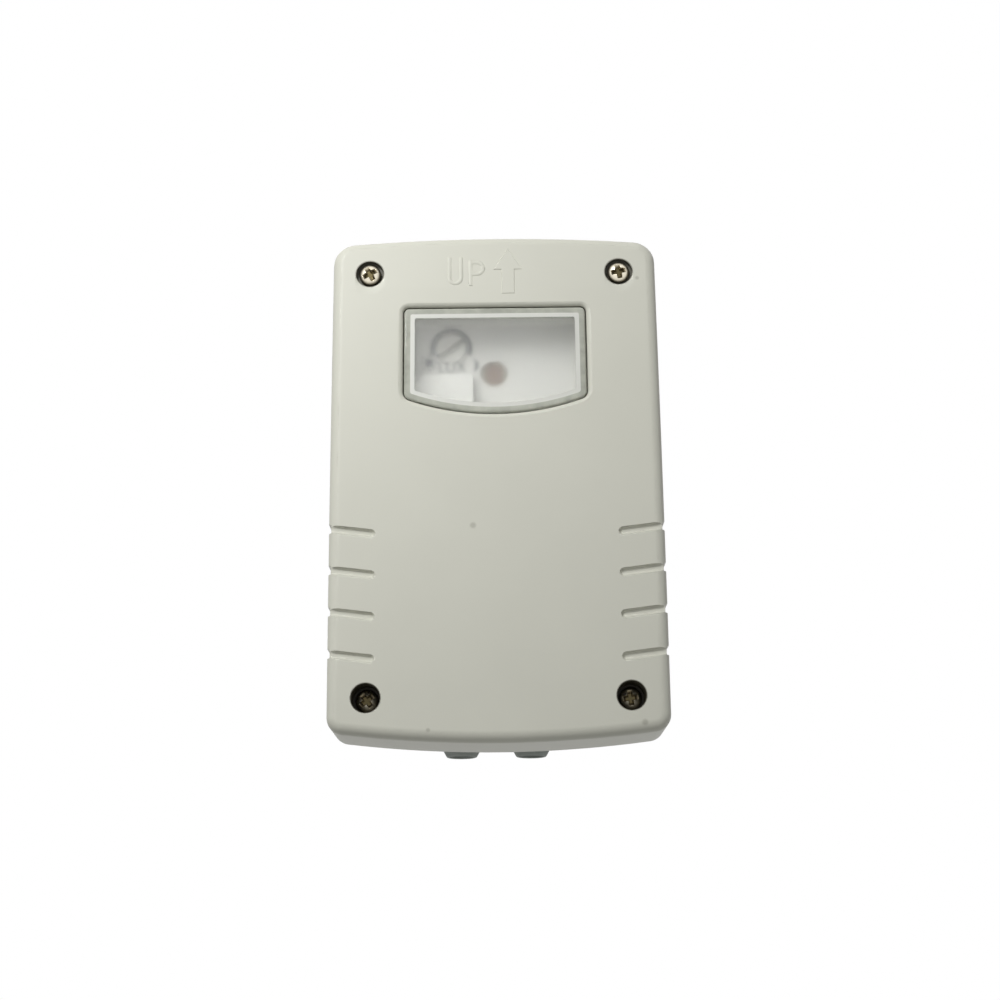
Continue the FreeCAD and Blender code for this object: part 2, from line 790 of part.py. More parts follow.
def make_relay_case():
    relay_right = relay_left + relay_width
    relay_high = relay_low + relay_length
    case = box(relay_left, relay_right, relay_deck_y, relay_front_y, relay_low, relay_high)
    wall = relay_case_wall
    return case.cut(box(relay_left + wall, relay_right - wall, relay_deck_y + overshoot, relay_front_y + wall,
                        relay_low + wall, relay_high - wall))


def coil_pin_spots():
    reach = relay_width / 2 - coil_pin_margin
    return [(relay_x + side * reach, pivot_z + coil_pin_rise) for side in (-1, 1)]


def make_relay_base():
    plate = box(relay_left, relay_left + relay_width, relay_back_y, relay_deck_y,
                relay_low, relay_low + relay_length)
    spots = coil_pin_spots() + [no_pin_spot(), nc_pin_spot(), yoke_pin_spot()]
    return cut(plate, [rod_y(x, z, lead_radius, 0, -case_depth) for x, z in spots])


def no_pin_spot():
    return relay_x, relay_low + relay_case_wall + open_contact_wall_gap + contact_strip


def nc_pin_spot():
    return relay_left + relay_case_wall + rest_contact_wall_gap + contact_strip, contact_z


def yoke_pin_spot():
    return relay_x, yoke_post_z + yoke_post / 2


def make_relay_bobbin():
    back = rod_y(relay_x, coil_z, bobbin_flange_radius, bobbin_back_y, bobbin_back_y - bobbin_flange)
    front = rod_y(relay_x, coil_z, bobbin_flange_radius, bobbin_front_y + bobbin_flange, bobbin_front_y)
    tube = rod_y(relay_x, coil_z, bobbin_tube_radius, bobbin_back_y, bobbin_front_y)
    return fuse([back, front, tube]).cut(rod_y(relay_x, coil_z, core_radius, 0, -case_depth))


def make_relay_coil():
    winding = rod_y(relay_x, coil_z, coil_radius,
                    bobbin_back_y - bobbin_flange, bobbin_front_y + bobbin_flange)
    return winding.cut(rod_y(relay_x, coil_z, bobbin_tube_radius, 0, -case_depth))


def make_relay_core():
    return rod_y(relay_x, coil_z, core_radius, bobbin_back_y, core_front_y)


def make_relay_yoke():
    half = yoke_width / 2
    plate = box(relay_x - half, relay_x + half, relay_deck_y, bobbin_back_y,
                coil_z - core_radius - yoke_toe, pivot_z)
    post = box(relay_x - half, relay_x + half, relay_deck_y, armature_back_y + armature_heel_gap,
               yoke_post_z, pivot_z)
    pin_x, pin_z = yoke_pin_spot()
    return fuse([plate, post, lead(pin_x, pin_z, relay_deck_y - weld)])


def make_relay_armature():
    half = armature_width / 2
    return box(relay_x - half, relay_x + half, armature_back_y, armature_back_y - armature_thickness,
               armature_tip_z, pivot_z + armature_heel)


def make_relay_contact_spring():
    front_y = armature_back_y - armature_thickness
    leaf = box(relay_x - leaf_width / 2, relay_x + leaf_width / 2, front_y, leaf_front_y, leaf_tip_z, pivot_z)
    button = rod_y(relay_x, contact_z, contact_radius, front_y + contact_height, front_y - leaf_thickness / 2)
    return fuse([leaf, button])


def make_relay_fixed_contacts():
    face = armature_back_y - armature_thickness + contact_height + contact_open_gap
    pin_x, pin_z = no_pin_spot()
    leg_z = pin_z - contact_strip / 2
    half = contact_half_width
    shelf = box(pin_x - half, pin_x + half, face, face + contact_strip, leg_z, contact_z + contact_radius)
    leg = box(pin_x - half, pin_x + half, face, relay_deck_y, leg_z, leg_z + contact_strip)
    open_contact = fuse([shelf, leg, lead(pin_x, pin_z, relay_deck_y - weld)])
    front = leaf_front_y - contact_rest_gap
    pin_x, pin_z = nc_pin_spot()
    leg_x = pin_x - contact_strip / 2
    half = rest_contact_half_width
    bar = box(leg_x, relay_x + half, front, front - contact_strip, contact_z - half, contact_z + half)
    leg = box(leg_x, leg_x + contact_strip, front - contact_strip, relay_deck_y,
              contact_z - half, contact_z + half)
    closed_contact = fuse([bar, leg, lead(pin_x, pin_z, relay_deck_y - weld)])
    return Part.makeCompound([open_contact, closed_contact])


def make_relay_coil_pins():
    return Part.makeCompound([lead(x, z, relay_deck_y - coil_pin_height) for x, z in coil_pin_spots()])


def make_film_capacitor():
    z = window_top - film_drop
    body = box(film_x - film_width / 2, film_x + film_width / 2, board_front_y, board_front_y - film_height,
               z - film_length / 2, z + film_length / 2)
    reach = film_length / 2 - film_lead_margin
    return fuse([body, board_lead(film_x, z - reach), board_lead(film_x, z + reach)])


# A round part that stands on the board on two leads
def standing_can(x, drop, radius, height):
    z = window_top - drop
    body = rod_y(x, z, radius, board_front_y, board_front_y - height)
    reach = radius / 2
    return fuse([body, board_lead(x, z - reach), board_lead(x, z + reach)])


def make_surge_varistor():
    y = board_front_y - varistor_radius - varistor_lift
    z = window_top - varistor_drop
    disc = Part.makeCylinder(varistor_radius, varistor_thickness,
                             Vector(varistor_x - varistor_thickness / 2, y, z), Vector(1, 0, 0))
    reach = varistor_radius / 2
    return fuse([disc, lead(varistor_x, z - reach, y), lead(varistor_x, z + reach, y)])


def make_driver_transistor():
    back_y = board_front_y - transistor_lift
    z = window_top - transistor_drop
    reach = transistor_radius + overshoot
    body = rod_y(transistor_x, z, transistor_radius, back_y, back_y - transistor_height)
    flat_x = transistor_x + transistor_flat
    body = body.cut(box(flat_x, flat_x + reach, 0, -case_depth, z - reach, z + reach))
    leads = [lead(transistor_x, z + step * transistor_lead_pitch, back_y - weld) for step in (-1, 0, 1)]
    return fuse([body] + leads)


def make_comparator_chip():
    back_y = board_front_y - chip_lift
    leg_y = back_y - chip_height / 2
    z = window_top - chip_drop
    solids = [box(chip_x - chip_length / 2, chip_x + chip_length / 2, back_y, back_y - chip_height,
                  z - chip_width / 2, z + chip_width / 2)]
    for side in (-1, 1):
        row_z = z + side * chip_leg_row / 2
        for step in range(chip_leg_count):
            x = chip_x + (step - (chip_leg_count - 1) / 2) * chip_leg_pitch
            shoulder = box(x - chip_leg_width / 2, x + chip_leg_width / 2, leg_y, leg_y - chip_leg_thickness,
                           z, row_z + side * lead_radius)
            solids += [shoulder, lead(x, row_z, leg_y - weld)]
    return fuse(solids)


# A small body that lies on the board between two bent leads, along X or along Z
def axial_part(x, drop, radius, length, along_x):
    y = board_front_y - radius - axial_lift
    z = window_top - drop
    direction = Vector(1, 0, 0) if along_x else Vector(0, 0, 1)
    centre = Vector(x, y, z)
    body = Part.makeCylinder(radius, length, centre - direction * (length / 2), direction)
    wire = Part.makeCylinder(lead_radius, axial_span, centre - direction * (axial_span / 2), direction)
    ends = [centre + direction * (side * (axial_span / 2 - lead_radius)) for side in (-1, 1)]
    return fuse([body, wire] + [lead(end.x, end.z, y - lead_radius) for end in ends])


def make_rectifier_diodes():
    xs = [diode_first_x + step * diode_pitch for step in range(diode_count)]
    return Part.makeCompound([axial_part(x, diode_drop, diode_radius, diode_length, False) for x in xs])


def make_zener_diode():
    return axial_part(zener_x, zener_drop, zener_radius, zener_length, False)


def make_resistors():
    return Part.makeCompound([axial_part(resistor_x, drop, resistor_radius, resistor_length, True)
                              for drop in resistor_drops])


# The board comes last, with a hole for every lead, terminal pin and screw
def make_circuit_board():
    board = box(-board_half_width, board_half_width, board_front_y, board_back_y, board_bottom, board_top)
    tools = [rod_y(x, z, lead_radius + lead_hole_gap, 0, -case_depth) for x, z in lead_spots]
    tools += [rod_y(x, z, fixing_hole_radius, 0, -case_depth) for x, z in panel_fixings + board_fixings]
    pin_hole_radius = pin_width / 2 + pin_hole_gap
    tools += [rod_y(x, post_z + strip_thickness / 2, pin_hole_radius, 0, -case_depth) for x in pole_xs()]
    return board.cut(Part.makeCompound(tools))


keep("rear_base", make_rear_base())
keep("front_cover", make_front_cover())
keep("window_lens", make_window_lens())
keep("window_seal", make_window_seal())
keep("cover_gasket", make_cover_gasket())
for corner, screw_x, screw_z in screw_corners:
    keep("cover_screw_" + corner, make_cover_screw(corner, screw_x, screw_z))
for side_name, cable_x in cable_spots():
    keep("cable_grommet_" + side_name, make_cable_grommet(cable_x))
keep("inner_panel", make_inner_panel())
keep("panel_screws", make_panel_screws())
keep("board_screws", make_board_screws())
keep("light_sensor", make_light_sensor())
keep("sensor_spacer", make_sensor_spacer())
keep("lux_potentiometer", make_lux_potentiometer())
keep("lux_knob", make_lux_knob())
keep("terminal_block", make_terminal_block())
keep("terminal_contacts", make_terminal_contacts())
for number, pole_x in enumerate(pole_xs(), 1):
    keep("terminal_screw_%d" % number, make_terminal_screw(pole_x))
    keep("terminal_clamp_%d" % number, make_terminal_clamp(pole_x))
keep("relay_case", make_relay_case())
keep("relay_base", make_relay_base())
keep("relay_bobbin", make_relay_bobbin())
keep("relay_coil", make_relay_coil())
keep("relay_core", make_relay_core())
keep("relay_yoke", make_relay_yoke())
keep("relay_armature", make_relay_armature())
keep("relay_contact_spring", make_relay_contact_spring())
keep("relay_fixed_contacts", make_relay_fixed_contacts())
keep("relay_coil_pins", make_relay_coil_pins())
keep("film_capacitor", make_film_capacitor())
keep("smoothing_capacitor", standing_can(can_x, can_drop, can_radius, can_height))
keep("board_fuse", standing_can(fuse_x, fuse_drop, fuse_radius, fuse_height))
keep("surge_varistor", make_surge_varistor())
keep("driver_transistor", make_driver_transistor())
keep("comparator_chip", make_comparator_chip())
keep("rectifier_diodes", make_rectifier_diodes())
keep("zener_diode", make_zener_diode())
keep("resistors", make_resistors())
keep("circuit_board", make_circuit_board())
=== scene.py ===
import bmesh
import bpy
import json
import math
from mathutils import Matrix, Vector

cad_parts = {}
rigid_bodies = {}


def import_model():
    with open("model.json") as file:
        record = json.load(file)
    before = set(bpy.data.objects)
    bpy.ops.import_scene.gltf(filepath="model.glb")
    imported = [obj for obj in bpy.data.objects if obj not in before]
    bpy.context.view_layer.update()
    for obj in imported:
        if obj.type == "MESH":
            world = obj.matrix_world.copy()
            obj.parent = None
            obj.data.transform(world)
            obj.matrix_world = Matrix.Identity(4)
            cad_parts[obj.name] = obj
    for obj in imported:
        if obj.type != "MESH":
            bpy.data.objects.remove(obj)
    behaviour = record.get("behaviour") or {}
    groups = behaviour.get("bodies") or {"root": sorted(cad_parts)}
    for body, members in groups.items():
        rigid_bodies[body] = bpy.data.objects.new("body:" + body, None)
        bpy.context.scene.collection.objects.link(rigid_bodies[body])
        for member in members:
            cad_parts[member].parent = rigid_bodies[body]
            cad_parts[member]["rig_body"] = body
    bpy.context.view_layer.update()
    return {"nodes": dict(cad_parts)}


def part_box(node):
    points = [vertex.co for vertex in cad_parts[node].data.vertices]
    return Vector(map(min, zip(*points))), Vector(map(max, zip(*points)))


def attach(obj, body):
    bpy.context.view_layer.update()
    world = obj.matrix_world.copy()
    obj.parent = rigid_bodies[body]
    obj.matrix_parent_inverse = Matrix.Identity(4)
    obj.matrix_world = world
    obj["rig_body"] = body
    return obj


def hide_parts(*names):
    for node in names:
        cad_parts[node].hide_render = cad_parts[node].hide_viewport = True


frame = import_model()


# Rear base
# The open box that is screwed to the wall. It is one moulding of hard grey plastic, with pillars for the
# cover's screws, bosses for the board and a groove for the seal in its rim.
mm = 0.001
base_shade = (198, 198, 186)
crisp_edge = 0.1 * mm
moulded_edge = 0.15 * mm
soft_edge = 0.3 * mm
sharp_angle = 32.0
flat_angle = 0.5
facet_weld = 0.002 * mm
plastic_ior = 1.5
plastic_rough = 0.46
plastic_drift = 0.04
plastic_cloud = 14.0 * mm
plastic_speck = 0.35 * mm
plastic_grain = 0.01 * mm
cloud_dulls = 0.08
speck_dulls = 0.06


class Wire:
    """A value in a material's nodes. Sums on it add maths nodes, and node() adds any other node."""

    def __init__(self, tree, socket=None):
        self.tree = tree
        self.socket = socket

    def node(self, kind, settings=None, inputs=None, output=0):
        made = self.tree.nodes.new(kind)
        for name, value in (settings or {}).items():
            setattr(made, name, value)
        for name, value in (inputs or {}).items():
            if isinstance(value, Wire):
                self.tree.links.new(value.socket, made.inputs[name])
            else:
                made.inputs[name].default_value = value
        return Wire(self.tree, made.outputs[output])

    def maths(self, operation, other=0.0):
        return self.node("ShaderNodeMath", {"operation": operation}, {0: self, 1: other})

    def __add__(self, other):
        return self.maths("ADD", other)

    def __sub__(self, other):
        return self.maths("SUBTRACT", other)

    def __mul__(self, other):
        return self.maths("MULTIPLY", other)

    def __truediv__(self, other):
        return self.maths("DIVIDE", other)

    def __rsub__(self, other):
        return self * -1 + other

    __radd__ = __add__
    __rmul__ = __mul__

    def noise(self, size, detail=2.0):
        """Cloudy noise from 0 to 1 whose clouds are about this size."""
        return self.node("ShaderNodeTexNoise", inputs={"Vector": self, "Scale": 1 / size, "Detail": detail})

    def along(self, axis):
        """The x, y or z of a place, as axis is 0, 1 or 2."""
        return self.node("ShaderNodeSeparateXYZ", inputs={0: self}, output=axis)

    def distance(self, spot):
        return self.node("ShaderNodeVectorMath", {"operation": "DISTANCE"}, {0: self, 1: spot}, "Value")

    def between(self, low, high):
        """1 where the value lies between low and high, and 0 elsewhere."""
        return self.maths("GREATER_THAN", low) * self.maths("LESS_THAN", high)

    def fade(self, full, gone):
        """1 up to the first value, falling smoothly to 0 at the second."""
        return self.node("ShaderNodeMapRange", {"interpolation_type": "SMOOTHSTEP"},
                         {"Value": self, "From Min": full, "From Max": gone, "To Min": 1.0, "To Max": 0.0})

    def mix(self, first, second):
        """The first colour where the value is 0 and the second where it is 1."""
        return self.node("ShaderNodeMix", {"data_type": "RGBA"}, {0: self, 6: first, 7: second}, 2)

    def into(self, shader, socket):
        self.tree.links.new(self.socket, shader.inputs[socket])


def paint(shade, lighter=1.0):
    """A colour as a screen shows it, from 0 to 255, made linear for a shader."""
    return tuple(lighter * ((level / 255 + 0.055) / 1.055) ** 2.4 for level in shade) + (1.0,)


def new_finish(name, steady):
    """A material, its shader with its steady values set, and the object's own coordinates."""
    material = bpy.data.materials.new(name)
    material.use_nodes = True
    shader = material.node_tree.nodes["Principled BSDF"]
    for socket, value in steady.items():
        shader.inputs[socket].default_value = value
    place = Wire(material.node_tree).node("ShaderNodeTexCoord", output="Object")
    return material, shader, place


def roughen(shader, height, depth):
    """Gives a surface fine relief of this depth."""
    height.node("ShaderNodeBump", inputs={"Height": height, "Distance": depth}).into(shader, "Normal")


def moulded_plastic(name, shade, rough=plastic_rough, drift=plastic_drift):
    """Moulded plastic: its colour drifts a little, and its fine grain breaks up the gloss."""
    material, shader, place = new_finish(name, {"IOR": plastic_ior})
    cloud = place.noise(plastic_cloud, 3.0)
    speck = place.noise(plastic_speck)
    cloud.mix(paint(shade, 1 - drift), paint(shade, 1 + drift)).into(shader, "Base Color")
    (rough - speck_dulls + cloud_dulls * cloud + speck_dulls * speck).into(shader, "Roughness")
    roughen(shader, speck, plastic_grain)
    return material


def add_piece(name, bm, finish, body, nodes=(), sharp=sharp_angle):
    """Makes a bmesh a piece that rides on a body and stands for these nodes."""
    mesh = bpy.data.meshes.new(name)
    bm.to_mesh(mesh)
    bm.free()
    mesh.shade_smooth()
    mesh.set_sharp_from_angle(angle=math.radians(sharp))
    mesh.materials.append(finish)
    piece = bpy.data.objects.new(name, mesh)
    bpy.context.scene.collection.objects.link(piece)
    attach(piece, body)
    if nodes:
        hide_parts(*nodes)
    return piece


def round_edges(piece, radius, segments=2, sharp=sharp_angle):
    """Rounds the piece's sharp edges, as its mould leaves them."""
    bevel = piece.modifiers.new("rounded_edges", "BEVEL")
    bevel.width = radius
    bevel.segments = segments
    bevel.limit_method = "ANGLE"
    bevel.angle_limit = math.radians(sharp)
    bevel.harden_normals = True


def merged(node):
    """A node's shape with its loose triangles joined into whole faces."""
    bm = bmesh.new()
    bm.from_mesh(frame["nodes"][node].data)
    bmesh.ops.remove_doubles(bm, verts=bm.verts, dist=facet_weld)
    bmesh.ops.dissolve_limit(bm, angle_limit=math.radians(flat_angle), verts=bm.verts, edges=bm.edges)
    return bm


def finish_node(node, finish, radius=moulded_edge, segments=2):
    """A node's own shape with its edges rounded and its finish on."""
    body = frame["nodes"][node]["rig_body"]
    piece = add_piece(node + "_finished", merged(node), finish, body, [node])
    round_edges(piece, radius, segments)


finish_node("rear_base", moulded_plastic("base_grey", base_shade), soft_edge)


# Cable grommets and rim seal
# Each cable comes in through a domed grommet of grey rubber, pushed through the base's lower wall with a lip
# on either side. A cord of dark foam lies in the base's rim, where the cover's tongue presses on it.
rubber_shade = (164, 170, 165)
foam_shade = (58, 58, 60)
grommet_bore = 2.6 * mm
grommet_neck = 4.55 * mm
grommet_lip = 5.4 * mm
grommet_lip_height = 1.2 * mm
grommet_flange = 5.4 * mm
grommet_flange_height = 0.6 * mm
grommet_shoulder = 4.0 * mm
grommet_nose = 3.1 * mm
grommet_nose_height = 1.65 * mm
grommet_edge = 0.35 * mm
rubber_bloom = 2.5 * mm
bloom_range = (0.8, 1.25)
bloom_dulls = 0.2
rubber_rough = 0.62
rubber_pore = 0.2 * mm
pore_depth = 0.02 * mm
turned_steps = 40
weld = 0.001 * mm


def turned(bm, profile, centre, axis):
    """A solid spun about an axis through the centre from its profile of (radius, height) points."""
    axis = Vector(axis)
    outwards = axis.orthogonal().normalized()
    verts = [bm.verts.new(Vector(centre) + outwards * radius + axis * height) for radius, height in profile]
    edges = [bm.edges.new(pair) for pair in zip(verts, verts[1:])]
    bmesh.ops.spin(bm, geom=verts + edges, cent=centre, axis=axis, angle=2 * math.pi,
                   steps=turned_steps, use_merge=True)
    bmesh.ops.remove_doubles(bm, verts=bm.verts, dist=weld)
    bmesh.ops.recalc_face_normals(bm, faces=bm.faces)


def rubber(name, shade):
    """Matt rubber with a bloom of dust."""
    material, shader, place = new_finish(name, {"IOR": plastic_ior})
    bloom = place.noise(rubber_bloom, 4.0)
    dark, pale = bloom_range
    bloom.mix(paint(shade, dark), paint(shade, pale)).into(shader, "Base Color")
    (rubber_rough + bloom_dulls * bloom).into(shader, "Roughness")
    roughen(shader, place.noise(rubber_pore), pore_depth)
    return material


grommet_rubber = rubber("grommet_rubber", rubber_shade)
for side in ("left", "right"):
    node = "cable_grommet_" + side
    low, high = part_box(node)
    centre = Vector(((low.x + high.x) / 2, (low.y + high.y) / 2, low.z))
    inside = high.z - grommet_lip_height - low.z
    flange_top = grommet_nose_height + grommet_flange_height
    profile = [
        (grommet_bore, 0),
        (grommet_nose, 0),
        (grommet_shoulder, grommet_nose_height),
        (grommet_flange, grommet_nose_height),
        (grommet_flange, flange_top),
        (grommet_neck, flange_top),
        (grommet_neck, inside),
        (grommet_lip, inside),
        (grommet_lip, high.z - low.z),
        (grommet_bore, high.z - low.z),
        (grommet_bore, 0),
    ]
    bm = bmesh.new()
    turned(bm, profile, centre, (0, 0, 1))
    grommet = add_piece(node + "_rubber", bm, grommet_rubber, "base", [node])
    round_edges(grommet, grommet_edge, 3)

finish_node("cover_gasket", rubber("seal_foam", foam_shade), crisp_edge)


# Circuit board
# Green glass-fibre laminate on the base's bosses, held by two zinc-plated screws at its foot and four at its
# head that also hold the inner panel.
laminate_shade = (42, 92, 58)
track_shade = (66, 122, 76)
zinc_shade = (176, 180, 184)
track_scale = 230.0
track_band = (0.42, 0.62)
track_relief = 0.03 * mm
plate_cloud = 0.9 * mm
plate_range = (0.86, 1.08)
plate_dulls = 0.2
plate_middle = 0.4
scratch_size = 0.12 * mm
scratch_depth = 0.004 * mm
eased_edge = 0.2 * mm


def board_laminate(name):
    """Green laminate whose copper tracks show as paler, slightly raised paths under the lacquer."""
    material, shader, place = new_finish(name, {"Roughness": 0.35, "IOR": plastic_ior})
    lines = place.node("ShaderNodeTexVoronoi", {"distance": "MANHATTAN"},
                       {"Vector": place, "Scale": track_scale})
    track = lines.between(*track_band)
    track.mix(paint(laminate_shade), paint(track_shade)).into(shader, "Base Color")
    roughen(shader, track, track_relief)
    return material


def plated_metal(name, shade, rough=0.24):
    """Plated metal with a slightly uneven polish and fine scratches."""
    material, shader, place = new_finish(name, {"Metallic": 1.0})
    haze = place.noise(plate_cloud, 4.0)
    dark, pale = plate_range
    haze.mix(paint(shade, dark), paint(shade, pale)).into(shader, "Base Color")
    (rough + plate_dulls * (haze - plate_middle)).into(shader, "Roughness")
    roughen(shader, place.noise(scratch_size), scratch_depth)
    return material


zinc = plated_metal("zinc", zinc_shade, rough=0.32)
finish_node("circuit_board", board_laminate("board_laminate"), crisp_edge)
for node in ("board_screws", "panel_screws"):
    finish_node(node, zinc, eased_edge)


# Terminal block
# Three poles for the mains wires in a block of pale plastic. A slotted screw draws each steel cage up and
# grips the wire against a brass strip that is soldered to the board.
terminal_shade = (206, 208, 204)
brass_shade = (206, 172, 96)
strip_edge = 0.08 * mm
terminal_grey = moulded_plastic("terminal_grey", terminal_shade, rough=0.4)
finish_node("terminal_block", terminal_grey, eased_edge)
brass = plated_metal("brass", brass_shade)
finish_node("terminal_contacts", brass, strip_edge)
for pole in (1, 2, 3):
    finish_node("terminal_screw_%d" % pole, zinc, crisp_edge)
    finish_node("terminal_clamp_%d" % pole, zinc)


# Relay
# A sealed mains relay. The coil's core pulls a hinged iron armature, whose leaf spring moves the changeover
# contact between two fixed ones, all on a black base under a blue dust cover.
relay_shade = (38, 82, 142)
relay_base_shade = (40, 41, 44)
bobbin_shade = (222, 216, 196)
copper_shade = (186, 98, 52)
iron_shade = (150, 148, 144)
wire_pitch = 0.16 * mm
wire_range = (0.55, 1.1)
wire_relief = 0.03 * mm
case_edge = 0.5 * mm
spring_edge = 0.03 * mm
sheared_edge = 0.05 * mm


def copper_winding(name):
    """Fine enamelled wire laid side by side along the bobbin."""
    material, shader, place = new_finish(name, {"Metallic": 0.8, "Roughness": 0.35})
    turns = (place.along(1) * (2 * math.pi / wire_pitch)).maths("SINE")
    dark, pale = wire_range
    (0.5 + 0.5 * turns).mix(paint(copper_shade, dark), paint(copper_shade, pale)).into(shader, "Base Color")
    roughen(shader, turns, wire_relief)
    return material


iron = plated_metal("soft_iron", iron_shade, rough=0.4)
relay_blue = moulded_plastic("relay_blue", relay_shade, rough=0.3)
finish_node("relay_case", relay_blue, case_edge, 3)
finish_node("relay_base", moulded_plastic("relay_black", relay_base_shade))
finish_node("relay_bobbin", moulded_plastic("bobbin_cream", bobbin_shade), crisp_edge)
finish_node("relay_coil", copper_winding("winding"), crisp_edge)
for node in ("relay_core", "relay_yoke", "relay_armature"):
    finish_node(node, iron, crisp_edge)
finish_node("relay_contact_spring", brass, spring_edge)
for node in ("relay_fixed_contacts", "relay_coil_pins"):
    finish_node(node, brass, sheared_edge)


# Board parts
# The supply and the dusk circuit: a mains dropper, rectifier and smoothing can feed a comparator that drives
# the relay through a transistor, with a fuse and a surge varistor at the mains side.
film_shade = (206, 172, 60)
can_shade = (36, 38, 52)
fuse_shade = (52, 50, 48)
varistor_shade = (44, 86, 150)
epoxy_shade = (30, 30, 32)
glass_shade = (168, 92, 58)
resistor_shade = (196, 178, 138)
sleeve_edge = 0.4 * mm
dipped_edge = 0.9 * mm
film_yellow = moulded_plastic("film_yellow", film_shade, rough=0.3)
finish_node("film_capacitor", film_yellow, case_edge, 3)
can_sleeve = moulded_plastic("can_sleeve", can_shade, rough=0.25)
finish_node("smoothing_capacitor", can_sleeve, sleeve_edge, 3)
fuse_brown = moulded_plastic("fuse_brown", fuse_shade, rough=0.35)
finish_node("board_fuse", fuse_brown, sleeve_edge, 3)
lacquer = moulded_plastic("varistor_blue", varistor_shade, rough=0.3)
finish_node("surge_varistor", lacquer, dipped_edge, 4)
epoxy = moulded_plastic("black_epoxy", epoxy_shade, rough=0.5)
for node in ("driver_transistor", "comparator_chip", "rectifier_diodes"):
    finish_node(node, epoxy)
zener_glass = moulded_plastic("zener_glass", glass_shade, rough=0.12)
finish_node("zener_diode", zener_glass, soft_edge, 3)
resistor_tan = moulded_plastic("resistor_tan", resistor_shade, rough=0.4)
finish_node("resistors", resistor_tan, sleeve_edge, 3)


# Light sensor
# A light-dependent resistor: a ceramic disc whose pinkish face carries a comb of light-sensitive film under
# clear lacquer. It stands on a spacer, so that it reaches up into its hole in the panel.
cell_shade = (166, 158, 146)
cell_track_shade = (140, 120, 108)
cell_side_shade = (176, 170, 162)
cell_track_pitch = 0.62 * mm
cell_track_half = 1.75 * mm
cell_gap_share = 0.14
cell_skin = 0.1 * mm
cell_edge = 0.25 * mm
spacer_shade = (210, 210, 204)
adjuster_shade = (48, 78, 128)
cell_low, cell_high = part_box("light_sensor")
cell_centre = (cell_low + cell_high) / 2


def sensor_face(name):
    """Pinkish film in a comb of rows across the disc's face."""
    material, shader, place = new_finish(name, {"Roughness": 0.3, "IOR": plastic_ior})
    height = place.along(2) - cell_centre.z
    row = (height / cell_track_pitch).maths("PINGPONG", 0.5)
    across = (place.along(0) - cell_centre.x).maths("ABSOLUTE")
    film = row.maths("GREATER_THAN", cell_gap_share) * across.maths("LESS_THAN", cell_track_half)
    face = film.mix(paint(cell_shade), paint(cell_track_shade))
    front = place.along(1).maths("LESS_THAN", cell_low.y + cell_skin)
    front.mix(paint(cell_side_shade), face).into(shader, "Base Color")
    return material


finish_node("light_sensor", sensor_face("cell_face"), cell_edge, 3)
finish_node("sensor_spacer", moulded_plastic("spacer_white", spacer_shade))
adjuster_blue = moulded_plastic("adjuster_blue", adjuster_shade)
finish_node("lux_potentiometer", adjuster_blue, soft_edge)


# Inner panel
# A white moulding behind the window that hides the board. It stands on four screws, and carries the light
# well round the window, a raised block over the relay and printed marks by the adjuster.
panel_shade = (218, 218, 213)
panel_front = -26.5 * mm
panel_edge = 0.25 * mm
mark_shade = (88, 88, 90)
mark_print = 0.06 * mm
ink_cloud = 0.4 * mm
ink_range = (0.8, 1.3)
size_per_capital = 1.4
dial_radius = 3.8 * mm
dial_width = 0.65 * mm
dial_start = 20.0
dial_sweep = 220.0
dial_steps = 24
lux_mark_height = 2.3 * mm
lux_mark_centre = (-9.1 * mm, 26.4 * mm)
sun_mark_centre = (-14.0 * mm, 27.6 * mm)
sun_mark_radius = 0.9 * mm
sun_rays = 8
sun_ray_length = 0.7 * mm
sun_ray_width = 0.3 * mm
sun_ray_reach = 0.65 * mm
moon_mark_centre = (-4.9 * mm, 26.9 * mm)
moon_mark_radius = 1.4 * mm
moon_mark_hollow = 0.45
disc_steps = 32


def printed_ink(name, shade):
    """Pad-printed ink, thin enough to let a little of the panel through."""
    material, shader, place = new_finish(name, {"Roughness": 0.5})
    dark, pale = ink_range
    place.noise(ink_cloud).mix(paint(shade, dark), paint(shade, pale)).into(shader, "Base Color")
    return material


def lettering(bm, words, height, centre, front):
    """Adds plain words, facing the front, to a bmesh."""
    font = bpy.data.curves.new("words", "FONT")
    font.body = words
    font.size = height * size_per_capital
    font.align_x = "CENTER"
    font.align_y = "CENTER"
    font.extrude = mark_print / 2
    text = bpy.data.objects.new("words", font)
    mesh = bpy.data.meshes.new_from_object(text)
    mesh.transform(Matrix.Translation((centre[0], front, centre[1])) @ Matrix.Rotation(math.pi / 2, 4, "X"))
    bm.from_mesh(mesh)
    bpy.data.objects.remove(text)


def disc(bm, radius, centre, front):
    """Adds a thin printed disc to a bmesh, and returns its vertices."""
    place = Matrix.Translation((centre[0], front, centre[1])) @ Matrix.Rotation(math.pi / 2, 4, "X")
    return bmesh.ops.create_cone(bm, cap_ends=True, segments=disc_steps, radius1=radius, radius2=radius,
                                 depth=mark_print, matrix=place)["verts"]


def dial_arc(bm, centre, front):
    """Adds the printed arc that runs from the sun over the adjuster to the moon."""
    ring = []
    for radius in (dial_radius, dial_radius + dial_width):
        corners = [(radius, -mark_print / 2), (radius, mark_print / 2)]
        ring += [bm.verts.new((centre[0] + x, front + y, centre[1])) for x, y in corners]
    inner_back, inner_front, outer_back, outer_front = ring
    section = bm.faces.new((inner_back, inner_front, outer_front, outer_back))
    pivot = (centre[0], front, centre[1])
    bmesh.ops.rotate(bm, cent=pivot, matrix=Matrix.Rotation(math.radians(dial_start), 3, "Y"), verts=ring)
    bmesh.ops.spin(bm, geom=[section] + section.edges[:] + ring, cent=pivot, axis=(0, 1, 0),
                   angle=-math.radians(dial_sweep), steps=dial_steps)


